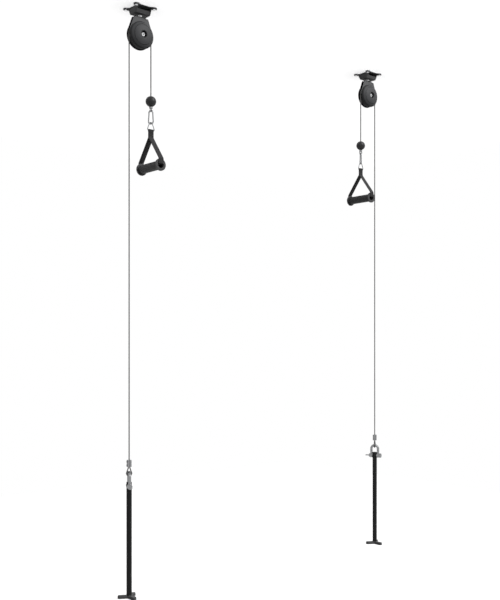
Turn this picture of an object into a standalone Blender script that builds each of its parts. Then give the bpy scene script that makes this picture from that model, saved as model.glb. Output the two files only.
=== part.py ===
"""Pair of ceiling-hung cable pulley stations for strength training, in metres with +Z up.

The origin lies on the ceiling, midway between the stations. +X runs to the right station and +Y
runs along the wheel axles, away from the side with the axle bolt heads. A station is modelled once,
about its own swivel axis, with +X as its outward side. The right station takes the shapes as they
are, and the left station mirrors them.
"""

import math

import bmesh
import bpy
from mathutils import Matrix, Vector

OBJECT_NAME = "ceiling_pulley_gym"

# Fits and layout
CLEARANCE = 0.0003
STATION_SPACING = 1.370
FLOOR_DROP = 2.400

# Cable
CABLE_RADIUS = 0.0025
PITCH_RADIUS = 0.0525
WRAP_TAIL = 0.001

# Ceiling bracket
BRACKET_DEPTH = 0.030
BRACKET_WALL = 0.003
BRACKET_TOP_SIZE = (0.068, 0.080)
BRACKET_BOTTOM_SIZE = (0.072, 0.042)
BRACKET_EDGE_RADIUS = 0.003
BRACKET_LIP_HEIGHT = 0.0145
BRACKET_WINDOW_WIDTH = 0.059
FLANGE_THICKNESS = 0.0025
FLANGE_MARGIN = (0.002, 0.001)
EAR_CENTRE = (0.0426, 0.0392)
EAR_RADIUS = 0.0115
EAR_HEIGHT = 0.0065
EAR_EDGE = 0.001
EAR_DIRECTION = 26
SCREW_HEAD_RADIUS = 0.0078
SCREW_FACE_RADIUS = 0.006
SCREW_HEAD_HEIGHT = 0.0015

# Swivel bolt, its nut and the yoke
SWIVEL_RADIUS = 0.004
SWIVEL_HEAD_RADIUS = 0.007
SWIVEL_HEAD_HEIGHT = 0.005
SWIVEL_NUT_RADIUS = 0.00825
SWIVEL_NUT_HEIGHT = 0.0062
YOKE_GAP = 0.0005
YOKE_HEIGHT = 0.018
YOKE_LENGTH = 0.052
SWIVEL_TIP_MARGIN = 0.001

# Wheel, bearing and axle
CABLE_YOKE_GAP = 0.003
AXLE_RADIUS = 0.006
AXLE_HEAD_RADIUS = 0.010
AXLE_HEAD_HEIGHT = 0.0165
AXLE_HEAD_EDGE = 0.001
AXLE_NUT_RADIUS = 0.011
AXLE_NUT_HEIGHT = 0.006
AXLE_TIP = 0.0017
BEARING_RADIUS = 0.012
WHEEL_RIM_MARGIN = 0.0005
WHEEL_HALF_WIDTH = 0.0046
GROOVE_ROOT_GAP = 0.0006
GROOVE_MOUTH_HALF_WIDTH = 0.0036
GROOVE_ROOT_HALF_WIDTH = 0.0014

# Cheek plates
CHEEK_GAP = 0.0055
CHEEK_THICKNESS = 0.0025
CHEEK_TOP_DROP = 0.040
CHEEK_SHOULDER_X = 0.031
CHEEK_SHOULDER_RADIUS = 0.0045
CHEEK_RIM_MARGIN = 0.0045
CHEEK_STEP = 0.0055
CHEEK_STEP_ANGLE = -2
CHEEK_LAST_ANGLE = -85

# Wheel covers, with heights measured from the cheek outwards
COVER_INSET = 0.002
COVER_WALL = 0.0025
COVER_RIM_HEIGHT = 0.007
COVER_GROOVE_RADIUS = 0.0415
COVER_GROOVE_DEPTH = 0.0014
COVER_CONE_HEIGHT = 0.0165
COVER_HUB_HEIGHT = 0.0232
COVER_HUB_RADIUS = 0.018
COVER_BORE_RADIUS = 0.014
COVER_DOME_BULGE = 0.001
COVER_DOME_SHARES = (0.33, 0.67)

# Stop ball and its eye
BALL_RADIUS = 0.022
BALL_DROP = 0.372
BALL_FLAT_RADIUS = 0.0035
FERRULE_RADIUS = 0.0065
FERRULE_HEIGHT = 0.007
EYE_RADIUS = 0.0065
EYE_WIRE_RADIUS = 0.002
EYE_INSET = 0.002

# Carabiner, with its plane turned from the station's XZ plane
CARABINER_TURN = 60
CARABINER_WIRE_RADIUS = 0.003
CARABINER_TOP_RADIUS = 0.0085
CARABINER_BOTTOM_RADIUS = 0.011
CARABINER_LENGTH = 0.0553
GATE_RADIUS = 0.0026
GATE_NOSE_GAP = 0.0006

# Triangle ring
RING_WIRE_RADIUS = 0.002
RING_APEX_RADIUS = 0.008
RING_CORNER_RADIUS = 0.005
RING_HALF_WIDTH = 0.0165
RING_GAP = 0.0006
RING_HEIGHT = 0.0328

# Webbing strap
STRAP_WIDTH = 0.025
STRAP_THICKNESS = 0.0025
STRAP_BAR_CLEARANCE = 0.0005
STRAP_SEWN_LENGTH = 0.0302
STRAP_NECK_DROP = 0.007
STRAP_FOOT_RISE = 0.0016
STRAP_LENGTH = 0.1518
STRAP_BEND_RADIUS = 0.0035

# Grip
GRIP_HALF_LENGTH = 0.073
GRIP_BORE_RADIUS = 0.014
GRIP_TUBE_RADIUS = 0.0157
GRIP_SLEEVE_RADIUS = 0.0185
GRIP_FLANGE_RADIUS = 0.025
GRIP_FLANGE_THICKNESS = 0.007
GRIP_FLANGE_CHAMFER = 0.001
GRIP_STRAP_RISE = 0.00425

# Clamp and cable eye at the loading post
CLAMP_TOP_DROP = 1.841
CLAMP_HEIGHT = 0.029
CLAMP_WIDTH = 0.018
CLAMP_DEPTH = 0.012
CLAMP_EDGE_RADIUS = 0.0015
CLAMP_NUT_RADIUS = 0.0035
CLAMP_NUT_HEIGHT = 0.003
CLAMP_NUT_SPACING = 0.015
EYE_DROP = 0.0255
EYE_LOOP_RADIUS = 0.0103
EYE_TAIL_OFFSET = 0.0028
EYE_TAIL_LENGTH = 0.002
THIMBLE_CLEARANCE = 0.0004
THIMBLE_HALF_WIDTH = 0.0037
THIMBLE_LIP = 0.0017
THIMBLE_SECTION = {
    "inside": ((0, 0.2), (0.35, 0.7)),
    "lip": ((0.75, 1), (1, 0.85), (0.4, 0.6), (0, 0.2)),
}

# Shackle, with its pin turned from the station's +X
SHACKLE_TURN = 115
SHACKLE_LENGTH = 0.0515
SHACKLE_BAR_RADIUS = 0.006
SHACKLE_HALF_WIDTH = 0.0175
PIN_RADIUS = 0.006
BOSS_RADIUS = 0.011
PIN_HEAD_RADIUS = 0.011
PIN_HEAD_LENGTH = 0.010
PIN_COLLAR_RADIUS = 0.009
PIN_COLLAR_LENGTH = 0.005
PIN_TAB_LENGTH = 0.019
PIN_TAB_WIDTH = 0.014
PIN_TAB_THICKNESS = 0.0045
PIN_TAB_EDGE = 0.0015

# Loading post and its foot
POST_RADIUS = 0.011
POST_TOP_ABOVE_PIN = 0.017
FOOT_HEIGHT = 0.012
FOOT_REACH = 0.046
FOOT_ARM_WIDTH = 0.018
FOOT_WALL = 0.0025
FOOT_ARM_ANGLES = (30, 150, 270)

# Facets
LARGE_STEPS = 28
MEDIUM_STEPS = 18
SMALL_STEPS = 12
TUBE_RESOLUTION = 2
WELD_DISTANCE = 0.00001

# Heights and places that several pieces share
YOKE_TOP_Z = -BRACKET_DEPTH - CLEARANCE - SWIVEL_NUT_HEIGHT - YOKE_GAP
YOKE_BOTTOM_Z = YOKE_TOP_Z - YOKE_HEIGHT
AXLE_Z = YOKE_BOTTOM_Z - CABLE_YOKE_GAP - CABLE_RADIUS - PITCH_RADIUS
WHEEL_RIM_RADIUS = PITCH_RADIUS + WHEEL_RIM_MARGIN
GROOVE_ROOT_RADIUS = PITCH_RADIUS - CABLE_RADIUS - GROOVE_ROOT_GAP
CHEEK_RADIUS = WHEEL_RIM_RADIUS + CHEEK_RIM_MARGIN
CHEEK_LOWER_RADIUS = CHEEK_RADIUS - CHEEK_STEP
COVER_RADIUS = CHEEK_RADIUS - COVER_INSET
PIN_SIDE_X = PITCH_RADIUS
HANDLE_SIDE_X = -PITCH_RADIUS
CHEEK_FACE_Y = CHEEK_GAP + CHEEK_THICKNESS + CLEARANCE
WRAP_END_Z = AXLE_Z - WRAP_TAIL
BALL_Z = -BALL_DROP
BALL_FLAT_HEIGHT = math.sqrt(BALL_RADIUS ** 2 - BALL_FLAT_RADIUS ** 2)
FERRULE_TOP_Z = BALL_Z - BALL_FLAT_HEIGHT - CLEARANCE
EYE_Z = FERRULE_TOP_Z - FERRULE_HEIGHT + EYE_INSET - EYE_WIRE_RADIUS - EYE_RADIUS
CARABINER_TOP_Z = EYE_Z - EYE_RADIUS + EYE_WIRE_RADIUS + CLEARANCE + CARABINER_WIRE_RADIUS
CARABINER_BOTTOM_Z = CARABINER_TOP_Z - CARABINER_LENGTH
RING_APEX_Z = CARABINER_BOTTOM_Z + CARABINER_WIRE_RADIUS + RING_GAP + RING_WIRE_RADIUS
RING_BAR_Z = RING_APEX_Z - RING_HEIGHT
STRAP_FACE_Y = GRIP_HALF_LENGTH + CLEARANCE
GRIP_Z = RING_BAR_Z - STRAP_LENGTH
CLAMP_TOP_Z = -CLAMP_TOP_DROP
CLAMP_BOTTOM_Z = CLAMP_TOP_Z - CLAMP_HEIGHT
SHACKLE_BAR_Z = CLAMP_BOTTOM_Z - EYE_DROP
PIN_Z = SHACKLE_BAR_Z - SHACKLE_LENGTH
FLOOR_Z = -FLOOR_DROP
FOOT_TOP_Z = FLOOR_Z + FOOT_HEIGHT


def polar(radius, degrees):
    """Point of a circle about the origin."""
    angle = math.radians(degrees)
    return Vector((radius * math.cos(angle), radius * math.sin(angle)))


def arc(centre, radius, start, end, count):
    """Points along a round stretch, from one angle in degrees to another."""
    points = []
    for index in range(count + 1):
        angle = start + (end - start) * index / count
        points.append(Vector(centre) + polar(radius, angle))
    return points


def tangent_angle(first, first_radius, second, second_radius):
    """Angle of the outward normal where a line touches two circles on their right side."""
    between = Vector(first) - Vector(second)
    lean = math.acos((second_radius - first_radius) / between.length)
    return math.degrees(math.atan2(between.y, between.x) - lean)


def flipped(points):
    """The mirror image of a row of flat points across their vertical axis, in reverse order."""
    return [Vector((-point.x, point.y)) for point in reversed(points)]


def upright(turn):
    """Matrix from an XY drawing to an upright plane turned from the XZ plane about Z."""
    return Matrix.Rotation(math.radians(turn), 4, "Z") @ Matrix.Rotation(math.radians(90), 4, "X")


def along(direction):
    """Matrix that lays the Z axis along a direction."""
    return Vector((0, 0, 1)).rotation_difference(Vector(direction)).to_matrix().to_4x4()


def at(x, y, z):
    """Matrix of a plain shift."""
    return Matrix.Translation((x, y, z))


def cleaned(mesh):
    """Weld a mesh's doubled corners and point its faces outwards."""
    shape = bmesh.new()
    shape.from_mesh(mesh)
    bmesh.ops.remove_doubles(shape, verts=shape.verts, dist=WELD_DISTANCE)
    bmesh.ops.recalc_face_normals(shape, faces=shape.faces)
    shape.to_mesh(mesh)
    shape.free()
    return mesh


def baked(source):
    """Take the evaluated mesh of a working object and remove the object."""
    bpy.context.scene.collection.objects.link(source)
    bpy.context.view_layer.update()
    graph = bpy.context.evaluated_depsgraph_get()
    mesh = bpy.data.meshes.new_from_object(source.evaluated_get(graph), depsgraph=graph)
    bpy.data.objects.remove(source)
    return cleaned(mesh)


def moved(mesh, matrix):
    """Move a mesh in place and hand it back."""
    mesh.transform(matrix)
    return mesh


def turned(profile, steps):
    """Turn a profile of radius and height pairs about Z, open on the axis or closed off it."""
    mesh = bpy.data.meshes.new("profile")
    edges = [(index, index + 1) for index in range(len(profile) - 1)]
    if profile[0][0] > 0:
        edges.append((len(profile) - 1, 0))
    mesh.from_pydata([(radius, 0, height) for radius, height in profile], edges, [])
    source = bpy.data.objects.new("turned", mesh)
    screw = source.modifiers.new("turn", "SCREW")
    screw.steps = steps
    screw.render_steps = steps
    screw.use_merge_vertices = True
    screw.merge_threshold = WELD_DISTANCE
    return baked(source)


def cylinder(radius, low, high, steps):
    """Closed cylinder or prism about Z between two heights."""
    shape = bmesh.new()
    bmesh.ops.create_cone(
        shape, cap_ends=True, segments=steps, radius1=radius, radius2=radius, depth=high - low
    )
    mesh = bpy.data.meshes.new("cylinder")
    shape.to_mesh(mesh)
    shape.free()
    return moved(mesh, at(0, 0, (low + high) / 2))


def tapered_box(top_size, bottom_size, top, bottom, edge_radius=0):
    """Box about Z whose top and bottom may differ in size, with optional rounded edges."""
    shape = bmesh.new()
    bmesh.ops.create_cube(shape, size=2)
    for corner in shape.verts:
        size = top_size if corner.co.z > 0 else bottom_size
        corner.co.x *= size[0] / 2
        corner.co.y *= size[1] / 2
        corner.co.z = top if corner.co.z > 0 else bottom
    mesh = bpy.data.meshes.new("box")
    shape.to_mesh(mesh)
    shape.free()
    if not edge_radius:
        return mesh
    source = bpy.data.objects.new("box", mesh)
    bevel = source.modifiers.new("round", "BEVEL")
    bevel.width = edge_radius
    bevel.segments = 2
    return baked(source)


def plate(outlines, low, high):
    """Flat plate from a closed outline and any holes in it, between two heights."""
    curve = bpy.data.curves.new("outline", "CURVE")
    curve.dimensions = "2D"
    curve.fill_mode = "BOTH"
    curve.extrude = (high - low) / 2
    for outline in outlines:
        spline = curve.splines.new("POLY")
        spline.points.add(len(outline) - 1)
        for point, place in zip(spline.points, outline):
            point.co = (place[0], place[1], 0, 1)
        spline.use_cyclic_u = True
    return moved(baked(bpy.data.objects.new("plate", curve)), at(0, 0, (low + high) / 2))


def wire(points, radius, closed=False, resolution=TUBE_RESOLUTION):
    """Round wire along a row of points, in a ring or with capped ends."""
    curve = bpy.data.curves.new("route", "CURVE")
    curve.dimensions = "3D"
    curve.bevel_depth = radius
    curve.bevel_resolution = resolution
    curve.use_fill_caps = not closed
    spline = curve.splines.new("POLY")
    spline.points.add(len(points) - 1)
    for point, place in zip(spline.points, points):
        point.co = (*place.to_3d(), 1)
    spline.use_cyclic_u = closed
    return baked(bpy.data.objects.new("wire", curve))


def combined(mesh, other, operation):
    """Join a second closed mesh to the first, or cut it out."""
    tool = bpy.data.objects.new("tool", other)
    bpy.context.scene.collection.objects.link(tool)
    source = bpy.data.objects.new("source", mesh)
    boolean = source.modifiers.new("combine", "BOOLEAN")
    boolean.operation = operation
    boolean.object = tool
    result = baked(source)
    bpy.data.objects.remove(tool)
    return result


def material(name, colour, roughness, metallic):
    """Plain surface with a base colour, a roughness and a metallic share."""
    surface = bpy.data.materials.new(name)
    surface.use_nodes = True
    shader = surface.node_tree.nodes["Principled BSDF"]
    shader.inputs["Base Color"].default_value = (*colour, 1)
    shader.inputs["Roughness"].default_value = roughness
    shader.inputs["Metallic"].default_value = metallic
    surface.diffuse_color = (*colour, 1)
    return surface


def add_object(name, mesh, location, surface):
    """Give a finished mesh its name, place, shading and material in the object's collection."""
    mesh.name = name
    mesh.materials.clear()
    mesh.materials.append(surface)
    mesh.shade_smooth()
    mesh.set_sharp_from_angle(angle=math.radians(35))
    piece = bpy.data.objects.new(name, mesh)
    piece.location = location
    bpy.data.collections[OBJECT_NAME].objects.link(piece)


def add_pair(stem, shape, pivot, surface, mirrored=True):
    """Place a station's piece on both stations, with its origin at its pivot."""
    for side_name, side in (("left", -1), ("right", 1)):
        mesh = moved(shape.copy(), at(-pivot[0], -pivot[1], -pivot[2]))
        if mirrored and side < 0:
            mesh.transform(Matrix.Diagonal((-1, 1, 1, 1)))
            mesh.flip_normals()
        centre = side * (STATION_SPACING / 2 + pivot[0])
        add_object(f"{side_name}_{stem}", mesh, (centre, pivot[1], pivot[2]), surface)
    bpy.data.meshes.remove(shape)


def flange_outline():
    """Rectangle whose four corners run out into round ears."""
    half_x = BRACKET_TOP_SIZE[0] / 2 + FLANGE_MARGIN[0]
    half_y = BRACKET_TOP_SIZE[1] / 2 + FLANGE_MARGIN[1]
    ear = Vector(EAR_CENTRE)
    side = polar(EAR_RADIUS, EAR_DIRECTION + 90)
    slope = math.tan(math.radians(EAR_DIRECTION))
    inner = ear - side
    outer = ear + side
    corner = [Vector((half_x, inner.y - (inner.x - half_x) * slope))]
    corner += arc(ear, EAR_RADIUS, EAR_DIRECTION - 90, EAR_DIRECTION + 90, 8)
    corner.append(Vector((outer.x - (outer.y - half_y) / slope, half_y)))
    upper = corner + flipped(corner)
    return upper + [-point for point in upper]


def ceiling_bracket():
    """Eared top plate with a tray below it, open at its two long sides above a lip, and its screws."""
    wall = 2 * BRACKET_WALL
    tray = tapered_box(
        BRACKET_TOP_SIZE, BRACKET_BOTTOM_SIZE, 0, -BRACKET_DEPTH, BRACKET_EDGE_RADIUS
    )
    hollow = tapered_box(
        [size - wall for size in BRACKET_TOP_SIZE],
        [size - wall for size in BRACKET_BOTTOM_SIZE],
        BRACKET_WALL,
        BRACKET_WALL - BRACKET_DEPTH,
    )
    window_size = (BRACKET_WINDOW_WIDTH, BRACKET_TOP_SIZE[1] + wall)
    window = tapered_box(window_size, window_size, wall, BRACKET_LIP_HEIGHT - BRACKET_DEPTH)
    bracket = combined(combined(tray, hollow, "DIFFERENCE"), window, "DIFFERENCE")
    bracket = combined(bracket, plate([flange_outline()], -FLANGE_THICKNESS, 0), "UNION")
    for side_x in (-1, 1):
        for side_y in (-1, 1):
            place = at(side_x * EAR_CENTRE[0], side_y * EAR_CENTRE[1], 0)
            bracket = combined(bracket, moved(ear_boss(), place), "UNION")
    bolt_hole = cylinder(
        SWIVEL_RADIUS + CLEARANCE, -BRACKET_DEPTH - BRACKET_WALL, -BRACKET_DEPTH / 2, SMALL_STEPS
    )
    return combined(bracket, bolt_hole, "DIFFERENCE")


def ear_boss():
    """Boss of an ear with the pan head of its screw, whose shank is left out above the ceiling face."""
    face = -EAR_HEIGHT
    bottom = face - SCREW_HEAD_HEIGHT
    profile = [
        (0, 0),
        (EAR_RADIUS, 0),
        (EAR_RADIUS, face + EAR_EDGE),
        (EAR_RADIUS - EAR_EDGE, face),
        (SCREW_HEAD_RADIUS, face),
        (SCREW_HEAD_RADIUS, (face + bottom) / 2),
        (SCREW_FACE_RADIUS, bottom),
        (0, bottom),
    ]
    return turned(profile, MEDIUM_STEPS)


def swivel_bolt():
    """Hex head inside the bracket and a shaft down into the yoke."""
    head_bottom = BRACKET_WALL - BRACKET_DEPTH + CLEARANCE
    head = cylinder(SWIVEL_HEAD_RADIUS, head_bottom, head_bottom + SWIVEL_HEAD_HEIGHT, 6)
    shaft_top = head_bottom + SWIVEL_HEAD_HEIGHT / 2
    shaft = cylinder(SWIVEL_RADIUS, YOKE_BOTTOM_Z + SWIVEL_TIP_MARGIN, shaft_top, SMALL_STEPS)
    return combined(head, shaft, "UNION")


def swivel_nut():
    """Collar under the bracket."""
    top = -BRACKET_DEPTH - CLEARANCE
    inner = SWIVEL_RADIUS + CLEARANCE
    bottom = top - SWIVEL_NUT_HEIGHT
    profile = [(SWIVEL_NUT_RADIUS, top), (SWIVEL_NUT_RADIUS, bottom), (inner, bottom), (inner, top)]
    return turned(profile, SMALL_STEPS)


def block_yoke():
    """Block between the cheeks, with the swivel bolt's hole through it."""
    size = (YOKE_LENGTH, 2 * (CHEEK_GAP - CLEARANCE))
    yoke = tapered_box(size, size, YOKE_TOP_Z, YOKE_BOTTOM_Z)
    hole = cylinder(
        SWIVEL_RADIUS + CLEARANCE, YOKE_BOTTOM_Z - YOKE_HEIGHT, YOKE_TOP_Z + YOKE_HEIGHT, SMALL_STEPS
    )
    return combined(yoke, hole, "DIFFERENCE")


def cheek(side):
    """Teardrop side plate: round shoulders, straight flanks and a disc that steps in below the axle."""
    shoulder = (CHEEK_SHOULDER_X, -AXLE_Z - CHEEK_TOP_DROP - CHEEK_SHOULDER_RADIUS)
    flank = tangent_angle(shoulder, CHEEK_SHOULDER_RADIUS, (0, 0), CHEEK_RADIUS)
    right = arc(shoulder, CHEEK_SHOULDER_RADIUS, 90, flank, 3)
    right += arc((0, 0), CHEEK_RADIUS, flank, CHEEK_STEP_ANGLE, 4)
    right += arc((0, 0), CHEEK_LOWER_RADIUS, CHEEK_STEP_ANGLE, CHEEK_LAST_ANGLE, 11)
    hole = arc((0, 0), AXLE_RADIUS + CLEARANCE, 0, 360 - 360 / SMALL_STEPS, SMALL_STEPS - 1)
    low = CHEEK_GAP if side < 0 else -CHEEK_GAP - CHEEK_THICKNESS
    sheet = plate([right + flipped(right), hole], low, low + CHEEK_THICKNESS)
    return moved(sheet, at(0, 0, AXLE_Z) @ upright(0))


def about_axle(mesh):
    """Stand a shape turned about Z on the wheel axle, with its top towards +Y."""
    return moved(mesh, at(0, 0, AXLE_Z) @ Matrix.Rotation(math.radians(-90), 4, "X"))


def cover(side):
    """Domed plastic shell with a rim, a cone, a groove, a flatter dome and an open hub."""
    groove = COVER_GROOVE_RADIUS
    depth = COVER_GROOVE_DEPTH
    hub = COVER_HUB_HEIGHT
    outside = [
        (COVER_RADIUS, 0),
        (COVER_RADIUS, COVER_RIM_HEIGHT - depth),
        (COVER_RADIUS - depth, COVER_RIM_HEIGHT),
        (groove + depth / 2, COVER_CONE_HEIGHT),
        (groove, COVER_CONE_HEIGHT - depth),
        (groove - depth / 2, COVER_CONE_HEIGHT + depth / 2),
    ]
    foot = Vector(outside[-1])
    crown = Vector((COVER_HUB_RADIUS, hub))
    outward = Vector((crown.y - foot.y, foot.x - crown.x)).normalized()
    for part in COVER_DOME_SHARES:
        bulge = COVER_DOME_BULGE * 4 * part * (1 - part)
        outside.append(tuple(foot.lerp(crown, part) + outward * bulge))
    outside.append(tuple(crown))
    inside = [
        (COVER_BORE_RADIUS, hub),
        (COVER_BORE_RADIUS, 0),
        (COVER_BORE_RADIUS + COVER_WALL, 0),
        (COVER_BORE_RADIUS + COVER_WALL, hub - COVER_WALL),
        (groove - COVER_WALL, COVER_CONE_HEIGHT - COVER_WALL),
        (COVER_RADIUS - COVER_WALL, COVER_RIM_HEIGHT - COVER_WALL),
        (COVER_RADIUS - COVER_WALL, 0),
    ]
    shell = about_axle(turned(outside + inside, LARGE_STEPS))
    shell.transform(at(0, CHEEK_FACE_Y, 0))
    if side < 0:
        shell.transform(Matrix.Diagonal((1, -1, 1, 1)))
        shell.flip_normals()
    return shell


def axle_bolt():
    """Tall round head in the hub of the front cover and a shaft through to the rear."""
    tip = CHEEK_FACE_Y + AXLE_NUT_HEIGHT + AXLE_TIP
    profile = [
        (0, tip),
        (AXLE_RADIUS, tip),
        (AXLE_RADIUS, -CHEEK_FACE_Y),
        (AXLE_HEAD_RADIUS, -CHEEK_FACE_Y),
        (AXLE_HEAD_RADIUS, AXLE_HEAD_EDGE - CHEEK_FACE_Y - AXLE_HEAD_HEIGHT),
        (AXLE_HEAD_RADIUS - AXLE_HEAD_EDGE, -CHEEK_FACE_Y - AXLE_HEAD_HEIGHT),
        (0, -CHEEK_FACE_Y - AXLE_HEAD_HEIGHT),
    ]
    return about_axle(turned(profile, SMALL_STEPS))


def axle_nut():
    """Hex nut on the rear cheek."""
    nut = cylinder(AXLE_NUT_RADIUS, CHEEK_FACE_Y, CHEEK_FACE_Y + AXLE_NUT_HEIGHT, 6)
    hole = cylinder(AXLE_RADIUS + CLEARANCE, 0, CHEEK_FACE_Y + 2 * AXLE_NUT_HEIGHT, SMALL_STEPS)
    return about_axle(combined(nut, hole, "DIFFERENCE"))


def wheel_bearing():
    """Plain ring bearing between the axle and the wheel."""
    half = WHEEL_HALF_WIDTH
    inner = AXLE_RADIUS + CLEARANCE
    profile = [(BEARING_RADIUS, half), (BEARING_RADIUS, -half), (inner, -half), (inner, half)]
    return about_axle(turned(profile, MEDIUM_STEPS))


def pulley_wheel():
    """Disc with a bore for its bearing and a groove for the cable."""
    half = WHEEL_HALF_WIDTH
    bore = BEARING_RADIUS + CLEARANCE
    profile = [
        (bore, half),
        (WHEEL_RIM_RADIUS, half),
        (WHEEL_RIM_RADIUS, GROOVE_MOUTH_HALF_WIDTH),
        (GROOVE_ROOT_RADIUS, GROOVE_ROOT_HALF_WIDTH),
        (GROOVE_ROOT_RADIUS, -GROOVE_ROOT_HALF_WIDTH),
        (WHEEL_RIM_RADIUS, -GROOVE_MOUTH_HALF_WIDTH),
        (WHEEL_RIM_RADIUS, -half),
        (bore, -half),
    ]
    return about_axle(turned(profile, LARGE_STEPS))


def cable_over_wheel():
    """Half a turn of cable over the wheel."""
    points = [Vector((PITCH_RADIUS, -WRAP_TAIL))]
    points += arc((0, 0), PITCH_RADIUS, 0, 180, 16)
    points.append(Vector((-PITCH_RADIUS, -WRAP_TAIL)))
    return moved(wire(points, CABLE_RADIUS), at(0, 0, AXLE_Z) @ upright(0))


def cable_run(x, bottom):
    """Straight cable from the wheel down to what it holds."""
    top = WRAP_END_Z - CLEARANCE
    return wire([Vector((x, 0, top)), Vector((x, 0, bottom + CLEARANCE))], CABLE_RADIUS)


def stop_ball():
    """Ball with small flats where the cable goes in and out."""
    start = math.degrees(math.asin(BALL_FLAT_HEIGHT / BALL_RADIUS))
    side = arc((0, 0), BALL_RADIUS, start, -start, 9)
    profile = [(0, side[0].y)] + [tuple(point) for point in side] + [(0, side[-1].y)]
    return moved(turned(profile, MEDIUM_STEPS), at(HANDLE_SIDE_X, 0, BALL_Z))


def ball_eye():
    """Ferrule under the ball with a wire eye, square to the carabiner."""
    ferrule = cylinder(FERRULE_RADIUS, FERRULE_TOP_Z - FERRULE_HEIGHT, FERRULE_TOP_Z, SMALL_STEPS)
    steps = MEDIUM_STEPS
    loop = wire(arc((0, 0), EYE_RADIUS, 0, 360 - 360 / steps, steps - 1), EYE_WIRE_RADIUS, True)
    loop = moved(loop, at(0, 0, EYE_Z) @ upright(CARABINER_TURN + 90))
    return moved(combined(ferrule, loop, "UNION"), at(HANDLE_SIDE_X, 0, 0))


def carabiner_ends():
    """Flat places of the body's two ends, at the gate's hinge and at its nose."""
    hinge_end = Vector((CARABINER_BOTTOM_RADIUS, CARABINER_BOTTOM_Z + CARABINER_BOTTOM_RADIUS))
    nose_end = Vector((CARABINER_TOP_RADIUS, CARABINER_TOP_Z - CARABINER_TOP_RADIUS))
    return hinge_end, nose_end


def gate_pivot():
    """Flat place of the gate's hinge and the direction of the closed gate."""
    hinge_end, nose_end = carabiner_ends()
    direction = (nose_end - hinge_end).normalized()
    return hinge_end + direction * (GATE_RADIUS + CLEARANCE), direction


def carabiner_body():
    """Bent wire from the gate's hinge round the bottom, up the spine and over to the nose."""
    hinge_end, nose_end = carabiner_ends()
    path = arc((0, hinge_end.y), CARABINER_BOTTOM_RADIUS, 0, -180, 12)
    path += arc((0, nose_end.y), CARABINER_TOP_RADIUS, 180, 0, 10)
    body = wire(path, CARABINER_WIRE_RADIUS)
    return moved(body, at(HANDLE_SIDE_X, 0, 0) @ upright(CARABINER_TURN))


def carabiner_gate():
    """Straight gate with a round end at its hinge."""
    pivot, direction = gate_pivot()
    nose_end = carabiner_ends()[1]
    length = (nose_end - pivot).length - GATE_NOSE_GAP
    profile = [(0, length), (GATE_RADIUS, length)]
    profile += [tuple(point) for point in arc((0, 0), GATE_RADIUS, 0, -90, 3)[:-1]]
    profile.append((0, -GATE_RADIUS))
    gate = moved(turned(profile, SMALL_STEPS), along((direction.x, 0, direction.y)))
    gate = moved(gate, at(pivot.x, 0, pivot.y))
    turn = Matrix.Rotation(math.radians(CARABINER_TURN), 4, "Z")
    return moved(gate, at(HANDLE_SIDE_X, 0, 0) @ turn)


def triangle_ring():
    """Closed wire with a round apex over the carabiner and a straight bar for the strap."""
    apex = Vector((0, RING_APEX_Z - RING_APEX_RADIUS))
    corner = Vector((RING_HALF_WIDTH - RING_CORNER_RADIUS, RING_BAR_Z + RING_CORNER_RADIUS))
    side = tangent_angle(apex, RING_APEX_RADIUS, corner, RING_CORNER_RADIUS)
    path = arc(corner, RING_CORNER_RADIUS, -90, side, 4)
    path += arc(apex, RING_APEX_RADIUS, side, 180 - side, 8)
    path += arc((-corner.x, corner.y), RING_CORNER_RADIUS, 180 - side, 270, 4)
    return moved(wire(path, RING_WIRE_RADIUS, True), at(HANDLE_SIDE_X, 0, 0) @ upright(0))


def webbing_strap():
    """Strap sewn round the ring's bar, spread to the grip's ends and passed through its bore."""
    bore_loop = RING_WIRE_RADIUS + STRAP_BAR_CLEARANCE
    thickness = STRAP_THICKNESS
    split = Vector((thickness / 2, RING_BAR_Z - STRAP_SEWN_LENGTH))
    foot = Vector((STRAP_FACE_Y + thickness / 2, GRIP_Z + GRIP_FLANGE_RADIUS + STRAP_FOOT_RISE))
    lean = math.atan2(foot.x - split.x, split.y - foot.y)
    base = GRIP_Z + GRIP_STRAP_RISE
    outer_y = STRAP_FACE_Y + thickness
    steep = thickness / 2 * math.tan(lean / 2)
    bend = (outer_y - STRAP_BEND_RADIUS, base - thickness / 2 + STRAP_BEND_RADIUS)
    right = arc((0, RING_BAR_Z), bore_loop + thickness, 90, 0, 5)
    right.append(Vector((thickness, RING_BAR_Z - STRAP_NECK_DROP)))
    right.append(Vector((thickness, split.y + steep)))
    right.append(Vector((outer_y, foot.y + steep)))
    right += arc(bend, STRAP_BEND_RADIUS, 0, -90, 4)
    inner_right = [
        Vector((0, split.y - steep)),
        Vector((STRAP_FACE_Y, foot.y - steep)),
        Vector((STRAP_FACE_Y, base + thickness / 2)),
    ]
    bar_hole = arc((0, RING_BAR_Z), bore_loop, 0, 360 - 360 / SMALL_STEPS, SMALL_STEPS - 1)
    outlines = [right + flipped(right)[:-1], inner_right + flipped(inner_right)[:-1], bar_hole]
    strap = plate(outlines, -STRAP_WIDTH / 2, STRAP_WIDTH / 2)
    return moved(strap, at(HANDLE_SIDE_X, 0, 0) @ upright(90))


def about_grip(mesh):
    """Lay a shape turned about Z along the grip's axis."""
    return moved(mesh, at(HANDLE_SIDE_X, 0, GRIP_Z) @ Matrix.Rotation(math.radians(-90), 4, "X"))


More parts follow.
